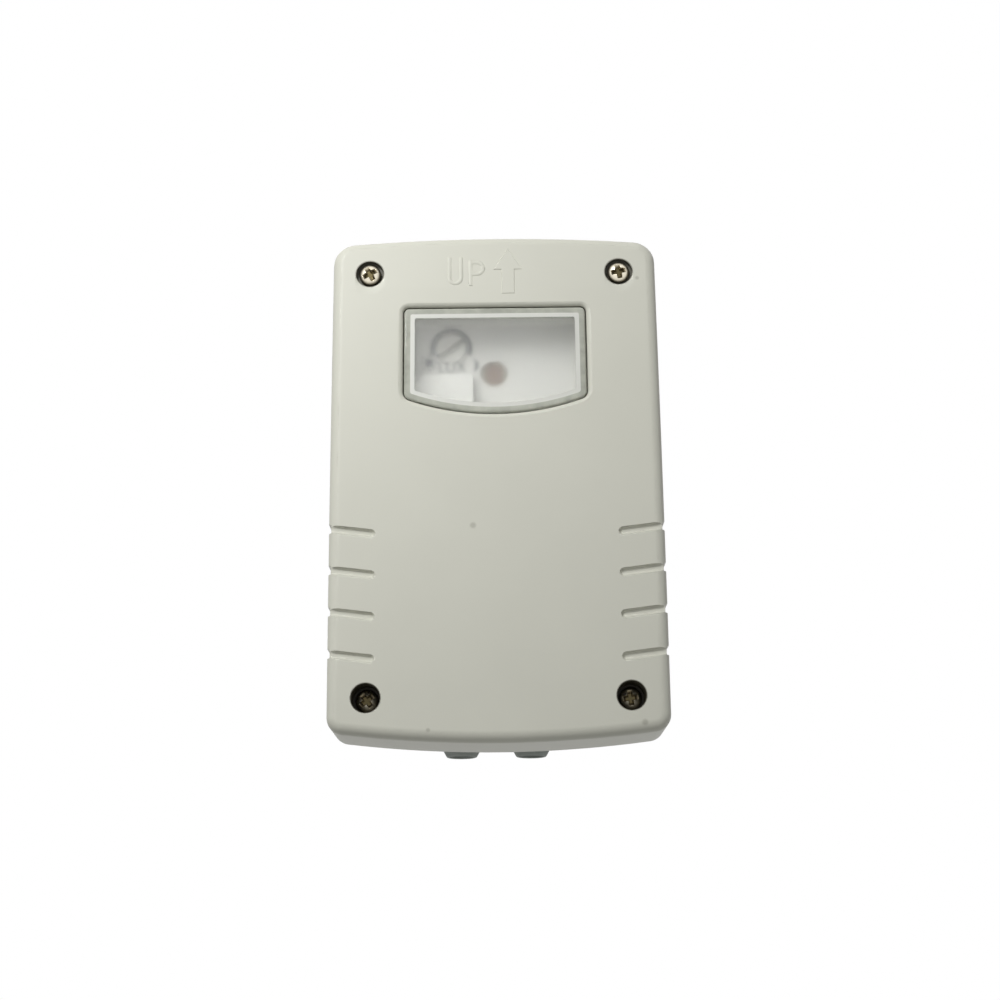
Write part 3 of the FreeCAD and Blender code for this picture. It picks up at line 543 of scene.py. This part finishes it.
panel_white = moulded_plastic("panel_white", panel_shade, rough=0.38)
finish_node("inner_panel", panel_white, panel_edge)
panel_face = panel_front - mark_print / 2
low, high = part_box("lux_knob")
dial_centre = ((low.x + high.x) / 2, (low.z + high.z) / 2)

bm = bmesh.new()
lettering(bm, "LUX", lux_mark_height, lux_mark_centre, panel_face)
dial_arc(bm, dial_centre, panel_face)
for vert in disc(bm, moon_mark_radius, moon_mark_centre, panel_face):
    offset = vert.co.x - moon_mark_centre[0]
    if offset < 0:
        vert.co.x = moon_mark_centre[0] - moon_mark_hollow * offset
disc(bm, sun_mark_radius, sun_mark_centre, panel_face)
for ray in range(sun_rays):
    turn = 2 * math.pi * ray / sun_rays
    bar = bmesh.ops.create_cube(bm, size=1.0)["verts"]
    bmesh.ops.scale(bm, vec=(sun_ray_length, mark_print, sun_ray_width), verts=bar)
    bmesh.ops.translate(bm, vec=(sun_mark_radius + sun_ray_reach, 0, 0), verts=bar)
    bmesh.ops.rotate(bm, matrix=Matrix.Rotation(turn, 3, "Y"), verts=bar)
    bmesh.ops.translate(bm, vec=(sun_mark_centre[0], panel_face, sun_mark_centre[1]), verts=bar)
add_piece("panel_marks", bm, printed_ink("mark_ink", mark_shade), "base")


# Lux adjuster
# A white slotted knob, turned with a small screwdriver, that sets how dark it gets before the switch acts.
# Its spindle goes down into the adjuster on the board.
knob_shade = (218, 218, 212)
knob_white = moulded_plastic("knob_white", knob_shade, rough=0.35)
finish_node("lux_knob", knob_white, soft_edge, 3)


# Front cover
# The deep lid of pale warm-grey plastic. It is one moulding with a crowned top and bottom, a face that leans
# back as one long arc, a window, four counterbored screw columns, slanted side grooves and raised marks.
cover_shade = (206, 206, 194)
cover_low, cover_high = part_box("front_cover")
rim_y = -20.0 * mm
top_crown_radius = 380.0 * mm
bottom_crown_radius = 250.0 * mm
top_corner_radius = 4.4 * mm
bottom_corner_radius = 3.0 * mm
least_corner_radius = 0.4 * mm
corner_steps = 8
outline_cuts = 24
round_steps = 48
face_lean_radius = 1040.0 * mm
face_crest_z = -45.25 * mm
face_edge_radius = 2.3 * mm
face_edge_steps = 6
face_edge_angle = 60.0
face_strip = 6.0 * mm
cover_wall = 1.9 * mm
cover_roof = 2.3 * mm
tongue_inset = 3.05 * mm
tongue_width = 0.9 * mm
tongue_back = -24.1 * mm
past = 1.0 * mm
hair = 0.01 * mm
lip_steps = 5
lip_turn = 78.0
cover_drift = 0.03
cover_specular = 0.3

screw_x = 26.25 * mm
screw_z = 45.25 * mm
screw_spots = {
    "top_left": (-screw_x, screw_z),
    "top_right": (screw_x, screw_z),
    "bottom_left": (-screw_x, -screw_z),
    "bottom_right": (screw_x, -screw_z),
}
column_radius = 4.2 * mm
column_back = -25.1 * mm
counterbore_radius = 2.85 * mm
counterbore_lip = 0.35 * mm
screw_seat = -32.65 * mm
screw_hole_radius = 1.4 * mm
# Painted shade: this colour darkens the counterbores, more at the bottom screws than the top, and the walls
# of the window opening.
hollow_shade = (54, 50, 36)
top_hollow_shade = 0.85
window_shade_depth = (0.5 * mm, 1.1 * mm)

window_half = 19.1 * mm
window_top = 37.4 * mm
window_corner_z = 17.2 * mm
window_bottom = 13.6 * mm
window_corner_radius = 1.2 * mm
window_lip = 1.15 * mm

groove_count = 4
groove_lowest = -37.445 * mm
groove_pitch = 8.53 * mm
groove_end_x = 25.45 * mm
groove_half = 0.78 * mm
groove_slope = 7.2
groove_depth = 0.75 * mm
groove_lip = 0.25 * mm
groove_round = 0.6 * mm
groove_end_steps = 16
notch_depth = 0.6 * mm
notch_back = -25.0 * mm
notch_chamfer = 0.5 * mm

bead_half = 0.42 * mm
bead_relief = 0.12 * mm
bead_root = 0.5 * mm
bead_sides = 12
bead_turn = 12.0
arrow_relief = 0.13 * mm
arrow_edge = 0.12 * mm
speck_shade = (120, 118, 104)
speck_strength = 0.35
speck_core = 0.3
specks = [
    ((-4.8 * mm, -10.4 * mm), 0.9 * mm),
    ((30.1 * mm, 43.6 * mm), 0.6 * mm),
    ((-13.9 * mm, -51.7 * mm), 0.6 * mm),
    ((28.7 * mm, -50.6 * mm), 0.9 * mm),
]


def face_y(z, inset=0.0):
    """The front face, or a surface set in behind it, as y at this height."""
    radius = face_lean_radius - inset
    return cover_low.y + face_lean_radius - math.sqrt(radius ** 2 - (z - face_crest_z) ** 2)


def lay_on_face(bm, level=None):
    """Moves what was drawn about y = 0 on to the leaning face, bent to it or flat at one level."""
    for vert in bm.verts:
        vert.co.y += face_y(vert.co.z if level is None else level)


def rounded_sheet(bm, half, y, ends):
    """A flat face with round corners. Each end, the top and the bottom, has its height at the middle, the
    radius that it is bent to, if any, and its corners' radius."""
    known = set(bm.faces)
    spots = [(side * half, y, height) for (height, bend, corner), sides in zip(ends, ((-1, 1), (1, -1)))
             for side in sides]
    row = [bm.verts.new(spot) for spot in spots]
    bm.faces.new(row)
    middle = (ends[0][0] + ends[1][0]) / 2
    for vert in row:
        corner = ends[0][2] if vert.co.z > middle else ends[1][2]
        bmesh.ops.bevel(bm, geom=[vert], offset=max(corner, least_corner_radius), segments=corner_steps,
                        affect="VERTICES", profile=0.5, material=-1)
    sheet = list(set(bm.faces) - known)
    across = [edge for edge in sheet[0].edges if abs(edge.verts[0].co.x - edge.verts[1].co.x) > half]
    bmesh.ops.bisect_edges(bm, edges=across, cuts=outline_cuts)
    for vert in sheet[0].verts:
        side, bend = (1, ends[0][1]) if vert.co.z > middle else (-1, ends[1][1])
        if bend:
            vert.co.z -= side * (bend - math.sqrt(bend ** 2 - vert.co.x ** 2))
    return sheet


def case_sheet(bm, inset, y):
    """The case's outline, set in by the inset, as a flat face."""
    top = (cover_high.z - inset, top_crown_radius - inset, top_corner_radius - inset)
    bottom = (cover_low.z + inset, bottom_crown_radius - inset, bottom_corner_radius - inset)
    return rounded_sheet(bm, cover_high.x - inset, y, (top, bottom))


def window_sheet(bm, grow, y):
    """The window's outline, grown by this much, as a flat face."""
    rise = window_corner_z - window_bottom
    bend = (window_half ** 2 + rise ** 2) / (2 * rise)
    corner = window_corner_radius + grow
    ends = ((window_top + grow, None, corner), (window_bottom - grow, bend + grow, corner))
    return rounded_sheet(bm, window_half + grow, y, ends)


def drawn_out(bm, faces, back, front):
    """Draws flat faces at the back out to the front, and returns the front vertices."""
    drawn = bmesh.ops.extrude_face_region(bm, geom=faces)["geom"]
    fresh = [part for part in drawn if isinstance(part, bmesh.types.BMVert)]
    bmesh.ops.translate(bm, vec=(0, front - back, 0), verts=fresh)
    bmesh.ops.recalc_face_normals(bm, faces=bm.faces)
    return fresh


def follow_face(bm, front, inset):
    """Bends a block's flat front to the leaning face, or to a surface set in behind it."""
    strips = int(screw_z / face_strip)
    for row in range(-strips, strips + 1):
        everything = bm.verts[:] + bm.edges[:] + bm.faces[:]
        bmesh.ops.bisect_plane(bm, geom=everything, plane_co=(0, 0, row * face_strip), plane_no=(0, 0, 1))
    for vert in bm.verts:
        if abs(vert.co.y - front) < hair:
            vert.co.y = face_y(vert.co.z, inset)


def case_block(inset, back, face_inset):
    """A solid of the case's outline, from the back to the face or to a surface set in behind it."""
    bm = bmesh.new()
    drawn_out(bm, case_sheet(bm, inset, back), back, cover_low.y)
    follow_face(bm, cover_low.y, face_inset)
    return bm


def bands_between(bm, sheet, levels):
    """Bands of faces that join a sheet's outlines at these (growth, y) levels, and the end outlines. Every
    outline starts from its upper right corner, so that they match."""
    outlines = []
    for grow, y in levels:
        outline = sheet(bm, grow, y)
        row = [vert.co.copy() for vert in outline[0].verts]
        start = max(range(len(row)), key=lambda place: row[place].x + 2 * row[place].z)
        outlines.append(row[start:] + row[:start])
        bmesh.ops.delete(bm, geom=outline, context="FACES")
    rings = [[bm.verts.new(spot) for spot in row] for row in outlines]
    bands = []
    for inner, outer in zip(rings, rings[1:]):
        bands.append([bm.faces.new((inner[place - 1], inner[place], outer[place], outer[place - 1]))
                      for place in range(len(inner))])
    return bands, (rings[0], rings[-1])


def case_wall(inset, width, back, face_inset):
    """A wall that runs round inside the case's outline."""
    bm = bmesh.new()
    bands = bands_between(bm, case_sheet, [(inset, back), (inset + width, back)])[0]
    drawn_out(bm, bands[0], back, cover_low.y)
    follow_face(bm, cover_low.y, face_inset)
    return bm


def lipped_tool(sheet, floor, lip, rounding=0.0):
    """A cutter that goes in to the floor, whose edge may be rounded, and flares into a lip at the face."""
    bm = bmesh.new()
    levels = []
    for step in range(lip_steps if rounding else 0):
        turn = math.pi / 2 * step / lip_steps
        levels.append((-rounding * (1 - math.sin(turn)), floor - rounding * (1 - math.cos(turn))))
    levels.append((0.0, floor - rounding))
    last_turn = math.radians(lip_turn)
    for step in range(lip_steps + 1):
        turn = last_turn * step / lip_steps
        levels.append((lip * (1 - math.cos(turn)), lip * (1 - math.sin(turn))))
    levels.append((levels[-1][0] + past * math.tan(last_turn), levels[-1][1] - past))
    for end in bands_between(bm, sheet, levels)[1]:
        bm.faces.new(end)
    bmesh.ops.recalc_face_normals(bm, faces=bm.faces)
    return bm


def rod(x, z, radius, back, front):
    """A round bar along y."""
    bm = bmesh.new()
    place = Matrix.Translation((x, (back + front) / 2, z)) @ Matrix.Rotation(math.pi / 2, 4, "X")
    bmesh.ops.create_cone(bm, cap_ends=True, segments=round_steps, radius1=radius, radius2=radius,
                          depth=back - front, matrix=place)
    return bm


def counterbore_tool(x, z):
    """A round cutter down to the screw's seat."""
    def sheet(bm, grow, y):
        known = set(bm.faces)
        place = Matrix.Translation((x, y, z)) @ Matrix.Rotation(math.pi / 2, 4, "X")
        bmesh.ops.create_circle(bm, cap_ends=True, radius=counterbore_radius + grow,
                                segments=round_steps, matrix=place)
        return list(set(bm.faces) - known)
    bm = lipped_tool(sheet, screw_seat - face_y(z), counterbore_lip)
    lay_on_face(bm, z)
    return bm


def window_tool():
    bm = lipped_tool(window_sheet, cover_roof + past, window_lip)
    lay_on_face(bm)
    return bm


def groove_tool(side, z):
    """A slanted groove with a round inner end and a rounded floor."""
    def sheet(bm, grow, y):
        half = groove_half + grow
        reach = cover_high.x - groove_end_x + 2 * past
        known = set(bm.verts)
        top = bm.verts.new((0, y, half))
        bmesh.ops.spin(bm, geom=[top], cent=(0, y, 0), axis=(0, 1, 0), angle=-math.pi, steps=groove_end_steps)
        end = sorted(set(bm.verts) - known, key=lambda vert: -vert.co.z)
        return [bm.faces.new(end + [bm.verts.new((reach, y, -half)), bm.verts.new((reach, y, half))])]
    bm = lipped_tool(sheet, groove_depth, groove_lip, groove_round)
    bmesh.ops.rotate(bm, matrix=Matrix.Rotation(-math.radians(groove_slope), 3, "Y"), verts=bm.verts)
    bmesh.ops.translate(bm, vec=(groove_end_x, 0, z), verts=bm.verts)
    bmesh.ops.scale(bm, vec=(side, 1, 1), verts=bm.verts)
    bmesh.ops.recalc_face_normals(bm, faces=bm.faces)
    lay_on_face(bm, z)
    return bm


def notch_tool(side, z):
    """Where a groove runs out over the side: square below and chamfered above."""
    bm = bmesh.new()
    floor = cover_high.x - notch_depth
    outside = cover_high.x + past
    level = z + (cover_high.x - groove_end_x) * math.tan(math.radians(groove_slope))
    chamfer = notch_chamfer * (notch_depth + past) / notch_depth
    section = [(floor, level - groove_half), (outside, level - groove_half),
               (outside, level + groove_half + chamfer), (floor, level + groove_half)]
    face = bm.faces.new([bm.verts.new((side * x, notch_back, height)) for x, height in section])
    drawn_out(bm, [face], notch_back, cover_low.y - past)
    return bm


def bead(start, heading, moves):
    """A letter's rounded stroke. It sets off down, or turned by the heading, in straight runs and arcs."""
    bm = bmesh.new()
    for vert in bmesh.ops.create_circle(bm, radius=bead_half, segments=bead_sides)["verts"]:
        vert.co.y = -vert.co.y * bead_relief / bead_half if vert.co.y > -hair else bead_root
    bmesh.ops.rotate(bm, matrix=Matrix.Rotation(math.radians(heading), 3, "Y"), verts=bm.verts)
    bmesh.ops.translate(bm, vec=start, verts=bm.verts)
    ring = bm.verts[:] + bm.edges[:]
    for centre, turn, run in moves:
        steps = max(1, round(abs(turn) / bead_turn))
        ring = bmesh.ops.spin(bm, geom=ring, cent=centre, axis=(0, 1, 0), angle=math.radians(turn), dvec=run,
                              steps=steps)["geom_last"]
    bmesh.ops.holes_fill(bm, edges=bm.edges)
    bmesh.ops.recalc_face_normals(bm, faces=bm.faces)
    lay_on_face(bm)
    return bm


def straight(x, z):
    return (0, 0, 0), 0, (x, 0, z)


def bend(x, z, turn):
    return (x, 0, z), turn, (0, 0, 0)


def letter_u(left, right, top, bottom):
    radius = (right - left) / 2
    limb = top - bottom - radius
    moves = [straight(0, -limb), bend(left + radius, bottom + radius, -180), straight(0, limb)]
    return [bead((left, 0, top), 0, moves)]


def letter_p(left, right, top, bottom, bowl):
    radius = (top - bowl) / 2
    limb = right - radius - left
    stem = bead((left, 0, top + bead_half), 0, [straight(0, bottom - top - bead_half)])
    moves = [straight(limb, 0), bend(left + limb, top - radius, 180), straight(-limb, 0)]
    return [stem, bead((left, 0, top), -90, moves)]


def raised_arrow(centre, apex, shoulder, tail, head_half, stem_half):
    """The arrow that says which way up the switch goes, as a low flat-topped boss."""
    bm = bmesh.new()
    outline = [(0, apex), (-head_half, shoulder), (-stem_half, shoulder), (-stem_half, tail),
               (stem_half, tail), (stem_half, shoulder), (head_half, shoulder)]
    face = bm.faces.new([bm.verts.new((centre + x, bead_root, z)) for x, z in outline])
    front = drawn_out(bm, [face], bead_root, -arrow_relief)
    rim = [edge for edge in bm.edges if all(vert in front for vert in edge.verts)]
    bmesh.ops.bevel(bm, geom=rim, offset=arrow_edge, segments=2, affect="EDGES", profile=0.5, material=-1)
    lay_on_face(bm)
    return bm


def shaped(blank, steps):
    """The blank after each step's tools have been joined to it or cut from it."""
    made = []
    groups = []

    def solid(bm, collection):
        mesh = bpy.data.meshes.new("solid")
        bm.to_mesh(mesh)
        bm.free()
        made.append(bpy.data.objects.new("solid", mesh))
        collection.objects.link(made[-1])
        return made[-1]

    body = solid(blank, bpy.context.scene.collection)
    for operation, tools in steps:
        group = bpy.data.collections.new("tools")
        groups.append(group)
        for tool in tools:
            solid(tool, group)
        cut = body.modifiers.new("cut", "BOOLEAN")
        cut.operation = operation
        cut.operand_type = "COLLECTION"
        cut.collection = group
        cut.solver = "EXACT"
    mesh = bpy.data.meshes.new_from_object(body.evaluated_get(bpy.context.evaluated_depsgraph_get()))
    bm = bmesh.new()
    bm.from_mesh(mesh)
    bmesh.ops.remove_doubles(bm, verts=bm.verts, dist=weld)
    bmesh.ops.dissolve_degenerate(bm, edges=bm.edges, dist=weld)
    for thing in made:
        bpy.data.objects.remove(thing)
    for group in groups:
        bpy.data.collections.remove(group)
    return bm


blank = case_block(0, rim_y, 0)
front_rim = []
for edge in blank.edges:
    in_front = max(vert.co.y for vert in edge.verts) < (rim_y + cover_low.y) / 2
    if in_front and edge.calc_face_angle() > math.radians(face_edge_angle):
        front_rim.append(edge)
bmesh.ops.bevel(blank, geom=front_rim, offset=face_edge_radius, segments=face_edge_steps, affect="EDGES",
                profile=0.5, material=-1)
hollow = case_block(cover_wall, rim_y + past, cover_roof)
tongue = case_wall(tongue_inset, tongue_width, tongue_back, cover_roof / 2)
columns = [rod(x, z, column_radius, column_back, face_y(z, cover_roof / 2)) for x, z in screw_spots.values()]
marks = letter_u(left=-9.45 * mm, right=-7.0 * mm, top=48.75 * mm, bottom=42.8 * mm)
marks += letter_p(left=-5.0 * mm, right=-2.35 * mm, top=47.6 * mm, bottom=42.2 * mm, bowl=44.9 * mm)
marks.append(raised_arrow(centre=2.9 * mm, apex=50.8 * mm, shoulder=45.9 * mm, tail=40.35 * mm,
                          head_half=3.0 * mm, stem_half=1.35 * mm))
cuts = [window_tool()]
for x, z in screw_spots.values():
    cuts.append(counterbore_tool(x, z))
    cuts.append(rod(x, z, screw_hole_radius, rim_y, cover_low.y))
for side in (-1, 1):
    for row in range(groove_count):
        cuts.append(groove_tool(side, groove_lowest + row * groove_pitch))
        cuts.append(notch_tool(side, groove_lowest + row * groove_pitch))
lid = shaped(blank, [("DIFFERENCE", [hollow]), ("UNION", [tongue] + columns + marks), ("DIFFERENCE", cuts)])


def finish_so_far(material):
    """A made material's shader, the object's own coordinates and the colour that the material has."""
    tree = material.node_tree
    shader = tree.nodes["Principled BSDF"]
    place = Wire(tree).node("ShaderNodeTexCoord", output="Object")
    return shader, place, Wire(tree, shader.inputs["Base Color"].links[0].from_socket)


def cover_grey():
    """The cover's plastic, with painted shade down its counterbores, heavier at the bottom screws, and on the
    walls of its window opening, and a few specks.
    """
    material = moulded_plastic("cover_grey", cover_shade, drift=cover_drift)
    shader, place, colour = finish_so_far(material)
    shader.inputs["Specular IOR Level"].default_value = cover_specular
    across = place.along(0).maths("ABSOLUTE") - screw_x
    up = place.along(2).maths("ABSOLUTE") - screw_z
    from_screw = (across * across + up * up).maths("SQRT")
    # Painted shade in the counterbores, full at the bottom screws and a little less at the top ones.
    counterbore_shade = from_screw.fade(counterbore_radius, counterbore_radius + counterbore_lip)
    counterbore_shade = counterbore_shade * (top_hollow_shade + (1 - top_hollow_shade) * place.along(2).fade(-screw_z, screw_z))
    colour = counterbore_shade.mix(colour, paint(hollow_shade))
    # Painted shade on the walls of the window opening, which lie deeper than the face.
    lean = (place.along(2) - face_crest_z) * (place.along(2) - face_crest_z) / (2 * face_lean_radius)
    depth = place.along(1) - cover_low.y - lean
    by_window = across.between(-screw_x - past, -past) * place.along(2).between(window_bottom - past, screw_z)
    window_shade = (1 - depth.fade(*window_shade_depth)) * by_window
    colour = window_shade.mix(colour, paint(hollow_shade))
    for spot, radius in specks:
        speck = place.distance((spot[0], face_y(spot[1]), spot[1])).fade(speck_core * radius, radius)
        colour = (speck_strength * speck).mix(colour, paint(speck_shade))
    colour.into(shader, "Base Color")
    return material


cover = add_piece("front_cover_moulding", lid, cover_grey(), "cover", ["front_cover"])
weighted = cover.modifiers.new("even_shading", "WEIGHTED_NORMAL")
weighted.keep_sharp = True


# Window lens and its seal
# One clear moulding, glued behind the cover's roof with a ring of black tape. Its rim is polished, a white
# line is printed round it, and the plate inside is frosted on both faces so that daylight spreads.
lens_tint = (0.97, 0.975, 0.965, 1.0)
frost_tint = (0.85, 0.855, 0.845, 1.0)
lens_clear_rough = 0.03
lens_frost_rough = 0.26
lens_haze = 0.72
frost_pass = 0.45
frost_grain = 0.4 * mm
frost_relief = 0.015 * mm
lens_haze_shade = (196, 198, 186)
lens_streak = 2.5 * mm
lens_streak_least = 0.6
lens_streak_swing = 0.8
lens_ior = 1.49
lens_gap = 0.15 * mm
lens_recess = 0.5 * mm
lens_edge = 0.45 * mm
lens_edge_steps = 6
lens_plate = 1.5 * mm
lens_pocket = 1.0 * mm
lens_flange = 2.2 * mm
lens_flange_front = 2.6 * mm
lens_flange_back = 3.9 * mm
frost_margin = 2.35 * mm
line_margin = 1.45 * mm
line_shade = (208, 209, 202)
line_rough = 0.4
line_drift = 0.02
tape_shade = (34, 34, 36)


def clear_plastic(name, rough, frosted):
    """Clear plastic that also lets the lamps light what lies behind it. The rim is a little milky, in streaks
    that its mould left, and frost is a fine eroded texture."""
    tint = frost_tint if frosted else lens_tint
    steady = {"Base Color": tint, "Transmission Weight": 1.0, "IOR": lens_ior, "Roughness": rough}
    material, shader, place = new_finish(name, steady)
    path = place.node("ShaderNodeLightPath", output="Is Shadow Ray")
    through = (frost_pass, frost_pass, frost_pass, 1.0) if frosted else lens_tint
    passing = place.node("ShaderNodeBsdfTransparent", inputs={"Color": through})
    blend = place.node("ShaderNodeMixShader", inputs={0: path, 2: passing})
    place.tree.links.new(shader.outputs[0], blend.socket.node.inputs[1])
    if frosted:
        roughen(shader, place.noise(frost_grain), frost_relief)
    else:
        milk = place.node("ShaderNodeBsdfDiffuse", inputs={"Color": paint(lens_haze_shade)})
        streaks = lens_streak_least + lens_streak_swing * place.noise(lens_streak, 3.0)
        haze = lens_haze * streaks
        blend = place.node("ShaderNodeMixShader", inputs={0: haze, 1: blend, 2: milk})
    blend.into(material.node_tree.nodes["Material Output"], "Surface")
    return material


levels = [(-frost_margin, lens_recess), (-line_margin, lens_recess)]
for step in range(lens_edge_steps + 1):
    turn = math.pi / 2 * step / lens_edge_steps
    levels.append((-lens_gap - lens_edge * (1 - math.sin(turn)),
                   lens_recess + lens_edge * (1 - math.cos(turn))))
levels += [(-lens_gap, lens_flange_front), (lens_flange, lens_flange_front), (lens_flange, lens_flange_back),
           (-lens_pocket, lens_flange_back), (-lens_pocket, lens_recess + lens_plate),
           (-frost_margin, lens_recess + lens_plate)]
bm = bmesh.new()
bands, ends = bands_between(bm, window_sheet, levels)
for face in bands[0]:
    face.material_index = 2
for end in ends:
    bm.faces.new(end).material_index = 1
bmesh.ops.recalc_face_normals(bm, faces=bm.faces)
lay_on_face(bm)
lens = add_piece("window_lens_moulding", bm, clear_plastic("lens_clear", lens_clear_rough, False), "cover",
                 ["window_lens"])
lens.data.materials.append(clear_plastic("lens_frost", lens_frost_rough, True))
lens.data.materials.append(moulded_plastic("lens_line", line_shade, line_rough, line_drift))
finish_node("window_seal", rubber("seal_tape", tape_shade), sheared_edge)


# Cover screws
# Four nickel-plated steel pan-head screws with a cross recess. Their threads bite into the base's pillars,
# and their heads sit deep in the cover's counterbores.
nickel_shade = (240, 232, 212)
nickel_rough = 0.3
head_radius = 2.3 * mm
head_height = 1.6 * mm
head_dome_radius = 3.05 * mm
head_foot = 0.12 * mm
head_steps = 8
head_sharp = 40.0
shank_radius = 1.25 * mm
thread_depth = 0.22 * mm
thread_pitch = 1.0 * mm
thread_turns = 13
thread_flank = 0.25
thread_root = 0.6
thread_start = 1.4 * mm
shank_length = 16.0 * mm
tip_radius = 0.3 * mm
recess_width = 1.25 * mm
recess_span = 3.9 * mm
recess_depth = 1.2 * mm
recess_taper = 0.5
recess_clear = 0.3 * mm
# Painted shade for the inside of the screws' cross recess.
recess_shade = (84, 76, 54)
recess_turns = {"top_left": 28.0, "top_right": 12.0, "bottom_left": 38.0, "bottom_right": 8.0}


def screw_profile():
    """Down from the middle of the domed head, along the thread to the point, as (radius, height)."""
    centre = head_height - head_dome_radius
    reach = math.asin(head_radius / head_dome_radius)
    profile = []
    for step in range(head_steps + 1):
        turn = reach * step / head_steps
        profile.append((head_dome_radius * math.sin(turn), centre + head_dome_radius * math.cos(turn)))
    profile += [(head_radius, head_foot), (head_radius - head_foot, 0), (shank_radius, 0)]
    for turn in range(thread_turns):
        crest = -thread_start - turn * thread_pitch
        profile += [(shank_radius, crest),
                    (shank_radius - thread_depth, crest - thread_flank * thread_pitch),
                    (shank_radius - thread_depth, crest - thread_root * thread_pitch)]
    point = [(shank_radius, shank_radius - shank_length), (tip_radius, -shank_length), (0, -shank_length)]
    return profile + point


def recess_tool(x, z, turn):
    """One bar of the cross recess, narrower at its floor."""
    bm = bmesh.new()
    bmesh.ops.create_cube(bm, size=1.0)
    for vert in bm.verts:
        inner = vert.co.y > 0
        vert.co.x *= recess_span * (recess_taper if inner else 1)
        vert.co.z *= recess_width * (recess_taper if inner else 1)
        vert.co.y = recess_depth if inner else 0
        if not inner:
            vert.co += (recess_clear / recess_depth) * Vector((vert.co.x, 0, vert.co.z)) * (1 - recess_taper)
            vert.co.y = -recess_clear
    bmesh.ops.rotate(bm, matrix=Matrix.Rotation(-math.radians(turn), 3, "Y"), verts=bm.verts)
    bmesh.ops.translate(bm, vec=(x, screw_seat - head_height, z), verts=bm.verts)
    return bm


def recess_shaded_nickel():
    """Nickel plate with painted shade in the cross recess, below the head's dome."""
    material = plated_metal("nickel", nickel_shade, nickel_rough)
    shader, place, clean = finish_so_far(material)
    head_top = screw_seat - head_height
    # Painted shade: darker from just below the head's top down into the recess.
    recess_shading = 1 - place.along(1).fade(head_top + recess_clear, head_top + recess_depth)
    recess_shading = recess_shading * place.along(1).between(head_top, screw_seat)
    recess_shading.mix(clean, paint(recess_shade)).into(shader, "Base Color")
    return material


nickel = recess_shaded_nickel()
for corner, (x, z) in screw_spots.items():
    blank = bmesh.new()
    turned(blank, screw_profile(), (x, screw_seat, z), (0, -1, 0))
    tools = [recess_tool(x, z, recess_turns[corner] + extra) for extra in (0, 90)]
    node = "cover_screw_" + corner
    screw = add_piece(node + "_steel", shaped(blank, [("DIFFERENCE", tools)]), nickel, "screw_" + corner,
                      [node], sharp=head_sharp)
    round_edges(screw, sheared_edge, 2, head_sharp)


# Studio
# A pale floor and backdrop that glow a little, one soft lamp above on the left, and the camera a little below
# the switch, looking up at it.
floor_z = -450.0 * mm
backdrop_y = 900.0 * mm
stage_half = 3.0
stage_shade = (200, 200, 198)
stage_glow = 0.1
stage_rough = 0.9
world_level = 0.31
camera_place = (0.70 * mm, -394.68 * mm, -95.88 * mm)
camera_tilt = 14.24
camera_roll = -0.63
camera_lens = 65.53
camera_sensor = 36.0
lamp_size = 0.16
lamp_power = 0.375
lamp_spread = 62.0
lamp_place = (-0.20, -0.45, 0.35)
lamp_target = (-0.09, -0.03, 0.07)


def shown_white(tree):
    """1 for what the camera sees, straight, mirrored or through glass, and 0 for light on the object."""
    rays = Wire(tree).node("ShaderNodeLightPath").socket.node.outputs
    shown = Wire(tree, rays["Is Camera Ray"])
    for kind in ("Is Glossy Ray", "Is Transmission Ray"):
        shown = shown.maths("MAXIMUM", Wire(tree, rays[kind]))
    return shown


def stage_white():
    """Pale where light falls on it, and plain white to the camera and in reflections."""
    material, shader, place = new_finish("stage_white", {
        "Base Color": paint(stage_shade),
        "Roughness": stage_rough,
        "Emission Color": (1, 1, 1, 1),
        "Emission Strength": stage_glow,
    })
    glow = place.node("ShaderNodeEmission", inputs={"Color": (1, 1, 1, 1)})
    blend = place.node("ShaderNodeMixShader", inputs={0: shown_white(place.tree), 2: glow})
    place.tree.links.new(shader.outputs[0], blend.socket.node.inputs[1])
    blend.into(material.node_tree.nodes["Material Output"], "Surface")
    return material


def stage_sheet(name, centre, turn):
    bm = bmesh.new()
    place = Matrix.Translation(centre) @ Matrix.Rotation(turn, 4, "X")
    bmesh.ops.create_grid(bm, x_segments=1, y_segments=1, size=stage_half, matrix=place)
    mesh = bpy.data.meshes.new(name)
    bm.to_mesh(mesh)
    bm.free()
    mesh.materials.append(stage_finish)
    sheet = bpy.data.objects.new(name, mesh)
    bpy.context.scene.collection.objects.link(sheet)


stage_finish = stage_white()
stage_sheet("floor", (0, 0, floor_z), 0)
stage_sheet("backdrop", (0, backdrop_y, 0), math.pi / 2)

light = bpy.data.lights.new("key_lamp", "AREA")
light.size = lamp_size
light.energy = lamp_power
light.spread = math.radians(lamp_spread)
lamp = bpy.data.objects.new("key_lamp", light)
bpy.context.scene.collection.objects.link(lamp)
lamp.location = lamp_place
lamp.rotation_euler = (Vector(lamp_target) - Vector(lamp_place)).to_track_quat("-Z", "Y").to_euler()

world = bpy.data.worlds.new("studio")
bpy.context.scene.world = world
world.use_nodes = True
shown = shown_white(world.node_tree)
(world_level + (1 - world_level) * shown).into(world.node_tree.nodes["Background"], "Color")

camera = bpy.data.objects.new("camera", bpy.data.cameras.new("camera"))
bpy.context.scene.collection.objects.link(camera)
camera.data.lens = camera_lens
camera.data.sensor_width = camera_sensor
tilt = Matrix.Rotation(math.radians(90 + camera_tilt), 4, "X")
roll = Matrix.Rotation(math.radians(camera_roll), 4, "Z")
camera.matrix_world = Matrix.Translation(camera_place) @ tilt @ roll
bpy.context.scene.camera = camera
bpy.context.scene.view_settings.view_transform = "Standard"
